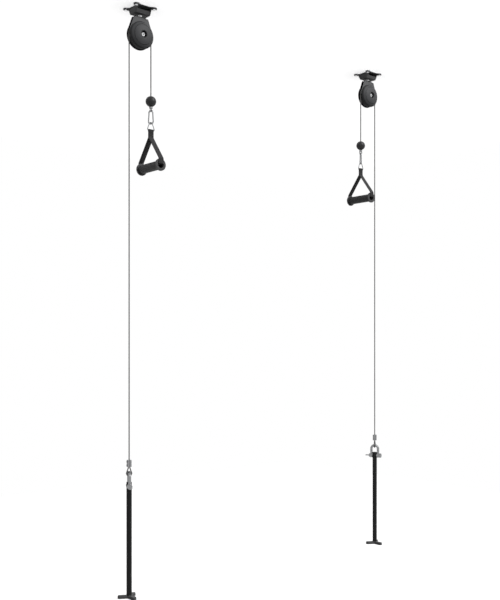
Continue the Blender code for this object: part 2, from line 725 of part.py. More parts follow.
def grip_tube():
    """Tube with a flange at each end."""
    end = GRIP_HALF_LENGTH
    face = end - GRIP_FLANGE_THICKNESS
    chamfer = GRIP_FLANGE_CHAMFER
    upper = [
        (GRIP_BORE_RADIUS, end),
        (GRIP_FLANGE_RADIUS - chamfer, end),
        (GRIP_FLANGE_RADIUS, end - chamfer),
        (GRIP_FLANGE_RADIUS, face + chamfer),
        (GRIP_FLANGE_RADIUS - chamfer, face),
        (GRIP_TUBE_RADIUS, face),
    ]
    lower = [(radius, -height) for radius, height in reversed(upper)]
    return about_grip(turned(upper + lower, LARGE_STEPS))


def grip_sleeve():
    """Soft sleeve on the tube between the flanges."""
    end = GRIP_HALF_LENGTH - GRIP_FLANGE_THICKNESS - CLEARANCE
    inner = GRIP_TUBE_RADIUS + CLEARANCE
    profile = [(GRIP_SLEEVE_RADIUS, end), (GRIP_SLEEVE_RADIUS, -end), (inner, -end), (inner, end)]
    return about_grip(turned(profile, LARGE_STEPS))


def cable_clamp():
    """Block pressed on the cable and its tail, with two nuts on one side."""
    size = (CLAMP_WIDTH, CLAMP_DEPTH)
    clamp = tapered_box(size, size, CLAMP_TOP_Z, CLAMP_BOTTOM_Z, CLAMP_EDGE_RADIUS)
    for step in (-1, 1):
        height = (CLAMP_TOP_Z + CLAMP_BOTTOM_Z + step * CLAMP_NUT_SPACING) / 2
        nut = cylinder(CLAMP_NUT_RADIUS, -CLAMP_EDGE_RADIUS, CLAMP_NUT_HEIGHT, 6)
        nut = moved(nut, at(-CLAMP_WIDTH / 2, 0, height) @ along((-1, 0, 0)))
        clamp = combined(clamp, nut, "UNION")
    return moved(clamp, at(PIN_SIDE_X, 0, 0))


def thimble():
    """Grooved ring between the shackle's bar and the cable, flared to clear the bend of the bar."""
    inner = SHACKLE_BAR_RADIUS + THIMBLE_CLEARANCE
    seat = EYE_LOOP_RADIUS - CABLE_RADIUS - CLEARANCE
    upper = []
    for start, part in ((inner, "inside"), (seat, "lip")):
        for outward, aside in THIMBLE_SECTION[part]:
            upper.append((start + THIMBLE_LIP * outward, THIMBLE_HALF_WIDTH * aside))
    lower = [(radius, -height) for radius, height in reversed(upper)]
    ring = turned(upper + lower, MEDIUM_STEPS)
    return moved(ring, at(PIN_SIDE_X, 0, SHACKLE_BAR_Z) @ along((*polar(1, SHACKLE_TURN), 0)))


def cable_eye():
    """Loop of the cable below its clamp."""
    top = CLAMP_BOTTOM_Z - CLEARANCE - SHACKLE_BAR_Z
    tail = Vector((EYE_TAIL_OFFSET, top - EYE_TAIL_LENGTH))
    reach = math.atan2(tail.y, tail.x) - math.acos(EYE_LOOP_RADIUS / tail.length)
    touch = math.degrees(reach)
    path = [Vector((EYE_TAIL_OFFSET, top)), tail]
    path += arc((0, 0), EYE_LOOP_RADIUS, touch, -180 - touch, 14)
    path += [Vector((-tail.x, tail.y)), Vector((-EYE_TAIL_OFFSET, top))]
    loop = moved(wire(path, CABLE_RADIUS), upright(SHACKLE_TURN - 90))
    return moved(loop, at(PIN_SIDE_X, 0, SHACKLE_BAR_Z))


def shackle_bow():
    """Bent bar with a boss and a pin hole at each foot."""
    drop = PIN_Z - SHACKLE_BAR_Z
    half = SHACKLE_HALF_WIDTH
    path = [Vector((half, drop))] + arc((0, -half), half, 0, 180, 10) + [Vector((-half, drop))]
    bow = moved(wire(path, SHACKLE_BAR_RADIUS, resolution=3), upright(SHACKLE_TURN))
    axis = at(0, 0, drop) @ along((*polar(1, SHACKLE_TURN), 0))
    inner = half - SHACKLE_BAR_RADIUS
    outer = half + SHACKLE_BAR_RADIUS
    for low, high in ((-outer, -inner), (inner, outer)):
        bow = combined(bow, moved(cylinder(BOSS_RADIUS, low, high, MEDIUM_STEPS), axis), "UNION")
    hole = cylinder(PIN_RADIUS + CLEARANCE, -2 * outer, 2 * outer, SMALL_STEPS)
    bow = combined(bow, moved(hole, axis), "DIFFERENCE")
    return moved(bow, at(PIN_SIDE_X, 0, SHACKLE_BAR_Z))


def shackle_pin():
    """Pin with a hex head at one end, a collar and a flat tab at the other."""
    face = SHACKLE_HALF_WIDTH + SHACKLE_BAR_RADIUS + CLEARANCE
    collar_end = face + PIN_COLLAR_LENGTH
    overlap = PIN_COLLAR_LENGTH / 2
    pin = cylinder(PIN_RADIUS, -face - PIN_HEAD_LENGTH / 2, collar_end - overlap, SMALL_STEPS)
    head = cylinder(PIN_HEAD_RADIUS, -face - PIN_HEAD_LENGTH, -face, 6)
    collar = cylinder(PIN_COLLAR_RADIUS, face, collar_end, SMALL_STEPS)
    size = (PIN_TAB_THICKNESS, PIN_TAB_WIDTH)
    tab = tapered_box(size, size, collar_end + PIN_TAB_LENGTH, collar_end - overlap, PIN_TAB_EDGE)
    for extra in (head, collar, tab):
        pin = combined(pin, extra, "UNION")
    pin.transform(Matrix.Rotation(math.radians(90), 4, "Y"))
    return moved(pin, at(PIN_SIDE_X, 0, PIN_Z) @ Matrix.Rotation(math.radians(SHACKLE_TURN), 4, "Z"))


def loading_post():
    """Round bar for the weight plates, with the pin's hole near its top."""
    post = cylinder(POST_RADIUS, FOOT_TOP_Z + CLEARANCE, PIN_Z + POST_TOP_ABOVE_PIN, MEDIUM_STEPS)
    hole = cylinder(PIN_RADIUS + CLEARANCE, -2 * POST_RADIUS, 2 * POST_RADIUS, SMALL_STEPS)
    hole = moved(hole, at(0, 0, PIN_Z) @ along((*polar(1, SHACKLE_TURN), 0)))
    return moved(combined(post, hole, "DIFFERENCE"), at(PIN_SIDE_X, 0, 0))


def foot_outline(half_width):
    """Outline of three arms with round ends."""
    centre_radius = FOOT_REACH - FOOT_ARM_WIDTH / 2
    fork_radius = half_width / math.sin(math.radians(60))
    outline = []
    for angle in FOOT_ARM_ANGLES:
        outline += arc(polar(centre_radius, angle), half_width, angle - 90, angle + 90, 6)
        outline.append(polar(fork_radius, angle + 60))
    return outline


def foot_star():
    """Pressed star that carries the plates, with its edges turned down to the floor."""
    star = plate([foot_outline(FOOT_ARM_WIDTH / 2)], FLOOR_Z, FOOT_TOP_Z)
    hollow = plate(
        [foot_outline(FOOT_ARM_WIDTH / 2 - FOOT_WALL)], FLOOR_Z - FOOT_WALL, FOOT_TOP_Z - FOOT_WALL
    )
    return moved(combined(star, hollow, "DIFFERENCE"), at(PIN_SIDE_X, 0, 0))


def build():
    """Make the collection, the materials and every piece."""
    collection = bpy.data.collections.new(OBJECT_NAME)
    bpy.context.scene.collection.children.link(collection)
    black_steel = material("black_powder_coat", (0.030, 0.030, 0.032), 0.45, 0.0)
    grey_steel = material("grey_painted_plate", (0.110, 0.112, 0.115), 0.40, 0.0)
    zinc = material("zinc_plate", (0.560, 0.565, 0.570), 0.35, 1.0)
    cover_plastic = material("cover_plastic", (0.045, 0.046, 0.050), 0.35, 0.0)
    wheel_nylon = material("wheel_nylon", (0.060, 0.060, 0.062), 0.40, 0.0)
    steel_cable = material("steel_cable", (0.330, 0.330, 0.330), 0.40, 1.0)
    ball_rubber = material("ball_rubber", (0.022, 0.022, 0.023), 0.50, 0.0)
    webbing = material("webbing", (0.025, 0.025, 0.026), 0.85, 0.0)
    grip_plastic = material("grip_plastic", (0.050, 0.050, 0.052), 0.50, 0.0)
    grip_rubber = material("grip_rubber", (0.028, 0.028, 0.029), 0.70, 0.0)

    top = (0, 0, 0)
    axle = (0, 0, AXLE_Z)
    add_pair("ceiling_bracket", ceiling_bracket(), top, black_steel)
    add_pair("swivel_bolt", swivel_bolt(), top, zinc)
    add_pair("swivel_nut", swivel_nut(), top, zinc)
    add_pair("block_yoke", block_yoke(), axle, black_steel)
    add_pair("front_cheek", cheek(-1), axle, grey_steel)
    add_pair("rear_cheek", cheek(1), axle, grey_steel)
    add_pair("front_cover", cover(-1), axle, cover_plastic)
    add_pair("rear_cover", cover(1), axle, cover_plastic)
    add_pair("axle_bolt", axle_bolt(), axle, zinc)
    add_pair("axle_nut", axle_nut(), axle, zinc)
    add_pair("wheel_bearing", wheel_bearing(), axle, zinc)
    add_pair("pulley_wheel", pulley_wheel(), axle, wheel_nylon)
    add_pair("cable_over_wheel", cable_over_wheel(), axle, steel_cable)

    handle_top = (HANDLE_SIDE_X, 0, WRAP_END_Z)
    pin_top = (PIN_SIDE_X, 0, WRAP_END_Z)
    ball_top = BALL_Z + BALL_FLAT_HEIGHT
    add_pair("cable_handle_run", cable_run(HANDLE_SIDE_X, ball_top), handle_top, steel_cable)
    add_pair("cable_pin_run", cable_run(PIN_SIDE_X, CLAMP_TOP_Z), pin_top, steel_cable)
    ball = (HANDLE_SIDE_X, 0, BALL_Z)
    add_pair("stop_ball", stop_ball(), ball, ball_rubber)
    add_pair("ball_eye", ball_eye(), ball, zinc)

    pivot = gate_pivot()[0]
    turn = polar(pivot.x, CARABINER_TURN)
    hang = (HANDLE_SIDE_X, 0, CARABINER_TOP_Z)
    hinge = (HANDLE_SIDE_X + turn.x, turn.y, pivot.y)
    add_pair("carabiner_body", carabiner_body(), hang, zinc)
    add_pair("carabiner_gate", carabiner_gate(), hinge, zinc)
    add_pair("triangle_ring", triangle_ring(), (HANDLE_SIDE_X, 0, CARABINER_BOTTOM_Z), zinc)
    add_pair("webbing_strap", webbing_strap(), (HANDLE_SIDE_X, 0, RING_BAR_Z), webbing)
    grip = (HANDLE_SIDE_X, 0, GRIP_Z)
    add_pair("grip_tube", grip_tube(), grip, grip_plastic)
    add_pair("grip_sleeve", grip_sleeve(), grip, grip_rubber)

    clamp = (PIN_SIDE_X, 0, CLAMP_TOP_Z)
    pin = (PIN_SIDE_X, 0, PIN_Z)
    add_pair("cable_clamp", cable_clamp(), clamp, zinc, mirrored=False)
    add_pair("cable_eye", cable_eye(), clamp, steel_cable)
    add_pair("thimble", thimble(), clamp, zinc)
    add_pair("shackle_bow", shackle_bow(), (PIN_SIDE_X, 0, SHACKLE_BAR_Z), zinc)
    add_pair("shackle_pin", shackle_pin(), pin, zinc)
    add_pair("loading_post", loading_post(), pin, black_steel)
    add_pair("foot_star", foot_star(), pin, black_steel)


for leftover in list(bpy.data.objects):
    bpy.data.objects.remove(leftover)
build()
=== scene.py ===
import math

import bmesh
import bpy
from mathutils import Matrix, Vector


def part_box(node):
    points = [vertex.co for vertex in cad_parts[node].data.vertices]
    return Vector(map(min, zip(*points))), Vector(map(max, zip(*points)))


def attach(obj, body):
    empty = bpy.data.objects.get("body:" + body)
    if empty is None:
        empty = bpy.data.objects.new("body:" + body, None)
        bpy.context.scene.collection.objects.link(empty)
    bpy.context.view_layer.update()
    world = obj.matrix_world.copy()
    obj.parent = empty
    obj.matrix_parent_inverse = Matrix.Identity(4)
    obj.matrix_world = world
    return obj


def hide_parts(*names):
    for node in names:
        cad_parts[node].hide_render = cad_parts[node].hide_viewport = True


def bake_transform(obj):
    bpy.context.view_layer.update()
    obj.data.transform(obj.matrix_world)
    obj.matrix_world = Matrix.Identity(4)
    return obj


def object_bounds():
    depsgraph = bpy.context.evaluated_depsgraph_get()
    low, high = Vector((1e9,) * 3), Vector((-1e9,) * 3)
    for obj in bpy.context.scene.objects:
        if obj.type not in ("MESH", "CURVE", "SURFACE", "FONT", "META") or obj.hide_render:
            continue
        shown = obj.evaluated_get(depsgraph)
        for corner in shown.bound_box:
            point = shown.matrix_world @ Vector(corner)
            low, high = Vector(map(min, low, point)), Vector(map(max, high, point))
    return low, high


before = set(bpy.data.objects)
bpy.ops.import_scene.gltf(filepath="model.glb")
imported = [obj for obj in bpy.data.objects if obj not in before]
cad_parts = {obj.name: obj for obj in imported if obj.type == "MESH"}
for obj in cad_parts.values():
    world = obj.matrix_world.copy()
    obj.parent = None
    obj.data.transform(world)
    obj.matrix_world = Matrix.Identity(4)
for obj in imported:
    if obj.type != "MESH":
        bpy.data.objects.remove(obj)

cad_box = [list(corner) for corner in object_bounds()]

# Camera: a level view from between floor and ceiling, turned to the right of the wheel axles, with
# upright verticals and a small shift upwards, as a tall thin object is photographed.
CAMERA_PLACE = (-2.631, -3.018, -1.359)
CAMERA_TURN = 40
FOCAL_LENGTH = 52.3
CAMERA_SHIFT = 0.068


def placed(name, data):
    """Object that holds some data, linked to the scene."""
    item = bpy.data.objects.new(name, data)
    bpy.context.scene.collection.objects.link(item)
    return item


camera_data = bpy.data.cameras.new("camera")
camera_data.lens = FOCAL_LENGTH
camera_data.sensor_width = 36
camera_data.shift_y = CAMERA_SHIFT
camera = placed("camera", camera_data)
camera.location = CAMERA_PLACE
camera.rotation_euler = (math.radians(90), 0, math.radians(-CAMERA_TURN))
bpy.context.scene.camera = camera
bpy.context.scene.view_settings.view_transform = "Standard"

# Studio: the pale ceiling that the brackets are screwed to and a pale floor below the loading posts.
# Their front sides show a soft shadow and dim close to the object. They let the room's light pass.
STAGE_SIZE = 5
STAGE_GAP = 0.0004
CONTACT_REACH = 0.12
# Height, facing in degrees, glow, brightness in the lamps' light, and how much contact dims the glow.
STAGES = {
    "ceiling": (STAGE_GAP, 180, 0.56, 6.0, 0.75),
    "floor": (cad_box[0][2] - STAGE_GAP, 0, 0.90, 0.60, 0.45),
}


def feed(tree, node, links):
    """Set a node's inputs to values, or join them to sockets."""
    for socket, source in dict(links).items():
        if isinstance(source, bpy.types.NodeSocket):
            tree.links.new(source, node.inputs[socket])
        else:
            node.inputs[socket].default_value = source


def add_node(tree, kind, links=(), **settings):
    """Add a node with its settings and its inputs."""
    node = tree.nodes.new(kind)
    for name, value in settings.items():
        setattr(node, name, value)
    feed(tree, node, links)
    return node


def made(tree, kind, links=(), out=0, **settings):
    """Add a node and hand back one of its output sockets."""
    return add_node(tree, kind, links, **settings).outputs[out]


def calc(tree, operation, *values, clamp=False):
    """Result of a math node over sockets or numbers."""
    return made(tree, "ShaderNodeMath", enumerate(values), operation=operation, use_clamp=clamp)


def ramp(tree, value, low, high, to_low=0.0, to_high=1.0):
    """Result of a straight ramp from one range to another, which ends at its two ends."""
    ends = {"From Min": low, "From Max": high, "To Min": to_low, "To Max": to_high}
    return made(tree, "ShaderNodeMapRange", {"Value": value, **ends})


def eye_rays(tree):
    """Socket that is 1 for what the eye sees directly, in a reflection or through glass."""
    ray = add_node(tree, "ShaderNodeLightPath")
    seen = calc(tree, "MAXIMUM", ray.outputs["Is Camera Ray"], ray.outputs["Is Glossy Ray"])
    return calc(tree, "MAXIMUM", seen, ray.outputs["Is Transmission Ray"])


def new_material(name):
    """New material, with its node tree and the shader in it."""
    surface = bpy.data.materials.new(name)
    surface.use_nodes = True
    return surface, surface.node_tree, surface.node_tree.nodes["Principled BSDF"]


def studio_white(name, glow, white, contact):
    """White skin of a stage: a part glows, less where something is near, and a part shows the light."""
    surface, tree, shader = new_material(name)
    tree.nodes.clear()
    near = made(tree, "ShaderNodeAmbientOcclusion", {"Distance": CONTACT_REACH}, "AO", samples=8)
    shine = made(tree, "ShaderNodeEmission", {"Strength": ramp(tree, near, 0, 1, glow * (1 - contact), glow)})
    matt = made(tree, "ShaderNodeBsdfDiffuse", {"Color": (white, white, white, 1)})
    lit = made(tree, "ShaderNodeAddShader", {0: shine, 1: matt})
    back = made(tree, "ShaderNodeNewGeometry", out="Backfacing")
    front = calc(tree, "SUBTRACT", eye_rays(tree), back, clamp=True)
    clear = made(tree, "ShaderNodeBsdfTransparent")
    mix = made(tree, "ShaderNodeMixShader", {0: front, 1: clear, 2: lit})
    add_node(tree, "ShaderNodeOutputMaterial", {"Surface": mix})
    return surface


def mesh_of(shape, mesh=None):
    """Write a working shape into a mesh and free it."""
    mesh = mesh or bpy.data.meshes.new("shape")
    shape.to_mesh(mesh)
    shape.free()
    return mesh


for stage_name, (height, facing, glow, white, contact) in STAGES.items():
    stage_shape = bmesh.new()
    bmesh.ops.create_grid(stage_shape, x_segments=1, y_segments=1, size=STAGE_SIZE / 2)
    stage_shape.transform(Matrix.Translation((0, 0, height)) @ Matrix.Rotation(math.radians(facing), 4, "X"))
    stage = placed(f"stage_{stage_name}", mesh_of(stage_shape))
    stage.data.materials.append(studio_white(f"studio_{stage_name}", glow, white, contact))

# Light: an even pale room, a large soft lamp in front on the right and a weaker one on the left, both
# above the object's middle. The eye and reflections see a plain white background.
ROOM_LEVEL = 0.08
LAMP_AIM = Vector((0, 0, -0.9))
# Place, size in metres and power in watts.
LAMPS = {
    "key_lamp": ((1.4, -3.3, 2.4), 2.0, 215),
    "fill_lamp": ((-4.0, -1.6, 1.2), 2.4, 30),
}

world = bpy.data.worlds.new("room")
bpy.context.scene.world = world
world.use_nodes = True
room = world.node_tree
room.nodes.clear()
room_light = made(room, "ShaderNodeBackground", {
    "Color": (1, 1, 1, 1), "Strength": ramp(room, eye_rays(room), 0, 1, ROOM_LEVEL, 1)})
add_node(room, "ShaderNodeOutputWorld", {"Surface": room_light})

for lamp_name, (lamp_place, lamp_size, lamp_power) in LAMPS.items():
    lamp_data = bpy.data.lights.new(lamp_name, "AREA")
    lamp_data.size = lamp_size
    lamp_data.energy = lamp_power
    lamp = placed(lamp_name, lamp_data)
    lamp.location = lamp_place
    lamp.rotation_euler = (LAMP_AIM - Vector(lamp_place)).to_track_quat("-Z", "Y").to_euler()

# Ceiling brackets: trays pressed from 3 mm steel sheet, open at their long sides above a lip, welded
# under a plate with four ears and powder coated black. Folding and the thick coat leave edges round.
STATION_X = (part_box("right_swivel_nut")[0][0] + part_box("right_swivel_nut")[1][0]) / 2
ROOT_BODY = "ceiling_mount"
GAP = 0.0003
BRACKET_DEPTH = 0.030
BRACKET_WALL = 0.003
BRACKET_TOP = (0.068, 0.080)
BRACKET_BOTTOM = (0.072, 0.042)
BRACKET_EDGE = 0.0033
BRACKET_INNER_EDGE = 0.0015
BRACKET_LIP = 0.0145
BRACKET_WINDOW = 0.059
BRACKET_HOLE = 0.0043
FLANGE_THICKNESS = 0.0025
FLANGE_EDGE = 0.0005
FLANGE_HALF = (0.036, 0.041)
EAR_CENTRE = (0.0426, 0.0392)
EAR_RADIUS = 0.0115
EAR_HEIGHT = 0.0065
EAR_EDGE = 0.0014
EAR_DIRECTION = 26
POWDER_BLACK = (0.140, 0.140, 0.143)
POWDER_WORN = (0.21, 0.21, 0.215)


def polar(radius, degrees):
    """Point of a circle about the origin."""
    angle = math.radians(degrees)
    return Vector((radius * math.cos(angle), radius * math.sin(angle)))


def arc(centre, radius, start, end, count):
    """Points along a round stretch, from one angle in degrees to another."""
    return [Vector(centre) + polar(radius, start + (end - start) * i / count) for i in range(count + 1)]


def flipped(points):
    """Mirror image of a row of flat points across their upright axis, in reverse order."""
    return [Vector((-point.x, point.y)) for point in reversed(points)]


def at(x, y, z):
    """Matrix of a plain shift."""
    return Matrix.Translation((x, y, z))


def moved(mesh, matrix):
    """Move a mesh in place and hand it back."""
    mesh.transform(matrix)
    return mesh


def welded(mesh):
    """Weld doubled corners and point the faces outwards."""
    shape = bmesh.new()
    shape.from_mesh(mesh)
    bmesh.ops.remove_doubles(shape, verts=shape.verts, dist=0.000002)
    bmesh.ops.recalc_face_normals(shape, faces=shape.faces)
    return mesh_of(shape, mesh)


def baked(source):
    """Turn a working object with its modifiers into a plain mesh and remove the object."""
    bpy.context.view_layer.update()
    graph = bpy.context.evaluated_depsgraph_get()
    mesh = bpy.data.meshes.new_from_object(source.evaluated_get(graph), depsgraph=graph)
    bpy.data.objects.remove(source)
    return mesh


def combined(mesh, other, operation):
    """Join a second closed mesh to the first, cut it out, or keep what they share."""
    tool = placed("tool", other)
    source = placed("source", mesh)
    boolean = source.modifiers.new("combine", "BOOLEAN")
    boolean.operation = operation
    boolean.object = tool
    result = baked(source)
    bpy.data.objects.remove(tool)
    return result


def rounded(mesh, width, segments=3, angle=30):
    """Round a mesh's sharp edges."""
    source = placed("rounded", mesh)
    bevel = source.modifiers.new("round", "BEVEL")
    bevel.width = width
    bevel.segments = segments
    bevel.limit_method = "ANGLE"
    bevel.angle_limit = math.radians(angle)
    return baked(source)


def add_line(curve, points, closed, widths=None):
    """Add a line through a row of points to a curve."""
    spline = curve.splines.new("POLY")
    spline.points.add(len(points) - 1)
    for index, place in enumerate(points):
        spline.points[index].co = (*place.to_3d(), 1)
        spline.points[index].radius = widths[index] if widths else 1
    spline.use_cyclic_u = closed


def plate(outlines, low, high, edge=0.0):
    """Flat plate from a closed outline and any holes in it, with round edges, between two heights."""
    curve = bpy.data.curves.new("outline", "CURVE")
    curve.dimensions = "2D"
    curve.fill_mode = "BOTH"
    curve.extrude = (high - low) / 2 - edge
    curve.bevel_depth = edge
    curve.bevel_resolution = 1
    curve.offset = -edge
    for outline in outlines:
        add_line(curve, outline, True)
    return moved(welded(baked(placed("plate", curve))), at(0, 0, (low + high) / 2))


def tapered_box(top_size, bottom_size, top, bottom):
    """Box about Z whose top and bottom may differ in size."""
    shape = bmesh.new()
    bmesh.ops.create_cube(shape, size=2)
    for corner in shape.verts:
        size, height = (top_size, top) if corner.co.z > 0 else (bottom_size, bottom)
        corner.co = (corner.co.x * size[0] / 2, corner.co.y * size[1] / 2, height)
    return mesh_of(shape)


def box(size, top, bottom):
    """Straight box about Z."""
    return tapered_box(size, size, top, bottom)


def lengths_along(points):
    """Length from the first of a row of points to each."""
    lengths = [0.0]
    for first, second in zip(points, points[1:]):
        lengths.append(lengths[-1] + (second - first).length)
    return lengths


def lofted(rings, shares, lengths, closed, along_first=False):
    """Mesh of the faces between neighbouring rings, where a ring of one place is a pole.

    The map holds the share of the way round a ring and the length along the rings.
    """
    shape = bmesh.new()
    chart = shape.loops.layers.uv.new("UVMap")
    count = len(shares) - 1
    knots = []
    for ring in rings:
        corners = [shape.verts.new(place) for place in ring]
        knots.append(corners * (count if len(corners) == 1 else 1))
    knots += knots[:1] if closed else []
    for low, high, start, end in zip(knots, knots[1:], lengths, lengths[1:]):
        for step in range(count):
            after = (step + 1) % count
            spots = {}
            for knot, share, length in (
                (low[step], shares[step], start), (low[after], shares[step + 1], start),
                (high[after], shares[step + 1], end), (high[step], shares[step], end),
            ):
                spots.setdefault(knot, (length, share) if along_first else (share, length))
            face = shape.faces.new(list(spots))
            for loop in face.loops:
                loop[chart].uv = spots[loop.vert]
    bmesh.ops.recalc_face_normals(shape, faces=shape.faces)
    return mesh_of(shape)


def turned(profile, steps=96):
    """Turn a profile of radius and height pairs about Z, closed on the axis or off it, with a map."""
    run = [Vector(point) for point in profile]
    rings = [[(0, 0, point.y)] if point.x == 0 else
             [(*polar(point.x, 360 * step / steps), point.y) for step in range(steps)] for point in run]
    hollow = run[0].x > 0
    shares = [step / steps for step in range(steps + 1)]
    return lofted(rings, shares, lengths_along(run + run[:1] if hollow else run), hollow)


def cylinder(radius, low, high, steps=96):
    """Closed cylinder about Z between two heights."""
    return turned([(0, low), (radius, low), (radius, high), (0, high)], steps)


def shader_group(name, inputs, outputs):
    """Start a shader node group whose named inputs have default values."""
    group = bpy.data.node_groups.new(name, "ShaderNodeTree")
    for socket, default in inputs.items():
        kind = "NodeSocketColor" if isinstance(default, tuple) else "NodeSocketFloat"
        group.interface.new_socket(socket, in_out="INPUT", socket_type=kind).default_value = default
    for socket, kind in outputs.items():
        group.interface.new_socket(socket, in_out="OUTPUT", socket_type=f"NodeSocket{kind}")
    return group, group.nodes.new("NodeGroupInput").outputs, group.nodes.new("NodeGroupOutput")


def noise(tree, vector, scale, detail):
    """Cloudy noise over a place."""
    return made(tree, "ShaderNodeTexNoise", {"Vector": vector, "Scale": scale, "Detail": detail})


def bump(tree, height, strength, distance=0.0003):
    """Normal of a skin with fine bumps."""
    return made(tree, "ShaderNodeBump", {"Strength": strength, "Distance": distance, "Height": height})


def vector_calc(tree, operation, *values, out=0):
    """Result of a vector math node over sockets or vectors."""
    return made(tree, "ShaderNodeVectorMath", enumerate(values), out, operation=operation)


def scaled(tree, vector, factor):
    """Colour or place times a number."""
    return made(tree, "ShaderNodeVectorMath", {0: vector, "Scale": factor}, operation="SCALE")


def mixed(tree, share, first, second):
    """Mix of two colours, with a share of the second."""
    return made(tree, "ShaderNodeMix", {0: share, 6: first, 7: second}, 2, data_type="RGBA")


def skin_grain():
    """Group for a coated, plated or moulded skin: fine bumps, patchy gloss and a slow drift of tone."""
    group, entry, leave = shader_group(
        "skin_grain",
        {"Color": (0.5, 0.5, 0.5, 1), "Roughness": 0.5, "Grain Scale": 1500.0, "Grain Depth": 0.1,
         "Patch Scale": 40.0, "Patch Depth": 0.2},
        {"Color": "Color", "Roughness": "Float", "Normal": "Vector"},
    )
    place = made(group, "ShaderNodeTexCoord", out="Object")
    patch = calc(group, "SUBTRACT", noise(group, place, entry["Patch Scale"], 5.0), 0.5)
    drift = calc(group, "MULTIPLY", patch, entry["Patch Depth"])
    feed(group, leave, {
        "Color": scaled(group, entry["Color"], calc(group, "ADD", drift, 1.0)),
        "Roughness": calc(group, "ADD", entry["Roughness"], drift, clamp=True),
        "Normal": bump(group, noise(group, place, entry["Grain Scale"], 3.0), entry["Grain Depth"]),
    })
    return group


def edge_wear():
    """Group for rubbed edges: another tone where two faces meet, broken up by a fine noise."""
    group, entry, leave = shader_group(
        "edge_wear",
        {"Color": (0.5, 0.5, 0.5, 1), "Worn Color": (0.6, 0.6, 0.6, 1), "Width": 0.001, "Amount": 0.4},
        {"Color": "Color"},
    )
    smooth = made(group, "ShaderNodeBevel", {"Radius": entry["Width"]}, samples=4)
    flat = made(group, "ShaderNodeNewGeometry", out="Normal")
    match = vector_calc(group, "DOT_PRODUCT", smooth, flat, out="Value")
    fine = noise(group, made(group, "ShaderNodeTexCoord", out="Object"), 420.0, 6.0)
    mask = calc(group, "MULTIPLY", ramp(group, match, 0.995, 0.80), ramp(group, fine, 0.42, 0.62))
    share = calc(group, "MULTIPLY", mask, entry["Amount"], clamp=True)
    feed(group, leave, {"Color": mixed(group, share, entry["Color"], entry["Worn Color"])})
    return group


SKIN_GRAIN = skin_grain()
EDGE_WEAR = edge_wear()


def skin(name, colour, roughness, metallic=0.0, gloss=0.25, grain=(1500, 0.1), patch=(40, 0.2), wear=None):
    """Material with the shared grain and, where wear gives a colour and an amount, rubbed edges."""
    surface, tree, shader = new_material(name)
    base = add_node(tree, "ShaderNodeGroup", {
        "Color": (*colour, 1), "Roughness": roughness, "Grain Scale": grain[0], "Grain Depth": grain[1],
        "Patch Scale": patch[0], "Patch Depth": patch[1]}, node_tree=SKIN_GRAIN)
    tone = base.outputs["Color"]
    if wear:
        rub = {"Color": tone, "Worn Color": (*wear[0], 1), "Amount": wear[1]}
        tone = made(tree, "ShaderNodeGroup", rub, node_tree=EDGE_WEAR)
    feed(tree, shader, {
        "Metallic": metallic, "Specular IOR Level": gloss, "Base Color": tone,
        "Roughness": base.outputs["Roughness"], "Normal": base.outputs["Normal"]})
    return surface


def add_pair(name, mesh, surface, body, nodes=None, kept_about=None, smooth=35):
    """Set a shape into both stations, where it rides on a body of its side or on the root body.

    It stands for the CAD node of its name or for those in nodes, which may be none. The left station
    mirrors it, or takes it unmirrored about an upright axis at x = kept_about.
    """
    pieces = {}
    for side in ("right", "left"):
        copy = moved(mesh.copy(), at(STATION_X, 0, 0))
        copy.name = f"{side}_{name}"
        if side == "left" and kept_about is not None:
            copy.transform(at(-2 * (STATION_X + kept_about), 0, 0))
        elif side == "left":
            copy.transform(Matrix.Diagonal((-1, 1, 1, 1)))
            copy.flip_normals()
        copy.materials.clear()
        copy.materials.append(surface)
        copy.shade_smooth()
        copy.set_sharp_from_angle(angle=math.radians(smooth))
        piece = placed(f"{side}_{name}", copy)
        if body:
            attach(piece, ROOT_BODY if body == ROOT_BODY else f"{side}_{body}")
        if nodes is None or nodes:
            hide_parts(*[f"{side}_{node}" for node in nodes or [name]])
        pieces[side] = piece
    bpy.data.meshes.remove(mesh)
    return pieces


def flange_outline():
    """Rectangle whose corners run out into round ears, which end just inside the bosses' walls."""
    ear = Vector(EAR_CENTRE)
    radius = EAR_RADIUS - GAP
    side = polar(radius, EAR_DIRECTION + 90)
    slope = math.tan(math.radians(EAR_DIRECTION))
    inner = ear - side
    outer = ear + side
    corner = [Vector((FLANGE_HALF[0], inner.y - (inner.x - FLANGE_HALF[0]) * slope))]
    corner += arc(ear, radius, EAR_DIRECTION - 90, EAR_DIRECTION + 90, 20)
    corner.append(Vector((outer.x - (outer.y - FLANGE_HALF[1]) / slope, FLANGE_HALF[1])))
    upper = corner + flipped(corner)
    return upper + [-point for point in upper]


bracket_over = [top + (top - bottom) * 2 * BRACKET_EDGE / BRACKET_DEPTH
                for top, bottom in zip(BRACKET_TOP, BRACKET_BOTTOM)]
bracket = tapered_box(bracket_over, BRACKET_BOTTOM, 2 * BRACKET_EDGE, -BRACKET_DEPTH)
bracket = rounded(bracket, BRACKET_EDGE, 4)
hollow_sizes = [[side - 2 * BRACKET_WALL for side in size] for size in (BRACKET_TOP, BRACKET_BOTTOM)]
bracket_hollow = tapered_box(*hollow_sizes, BRACKET_WALL, BRACKET_WALL - BRACKET_DEPTH)
bracket_window = box((BRACKET_WINDOW, BRACKET_TOP[1] * 2), BRACKET_DEPTH, BRACKET_LIP - BRACKET_DEPTH)
for bracket_cut in (
    rounded(bracket_hollow, BRACKET_INNER_EDGE), rounded(bracket_window, BRACKET_WALL),
    box((1, 1), 1, -FLANGE_THICKNESS / 2),
):
    bracket = combined(bracket, bracket_cut, "DIFFERENCE")
bracket = combined(bracket, plate([flange_outline()], -FLANGE_THICKNESS, 0, FLANGE_EDGE), "UNION")
boss_profile = [(0, -GAP), (EAR_RADIUS, -GAP)]
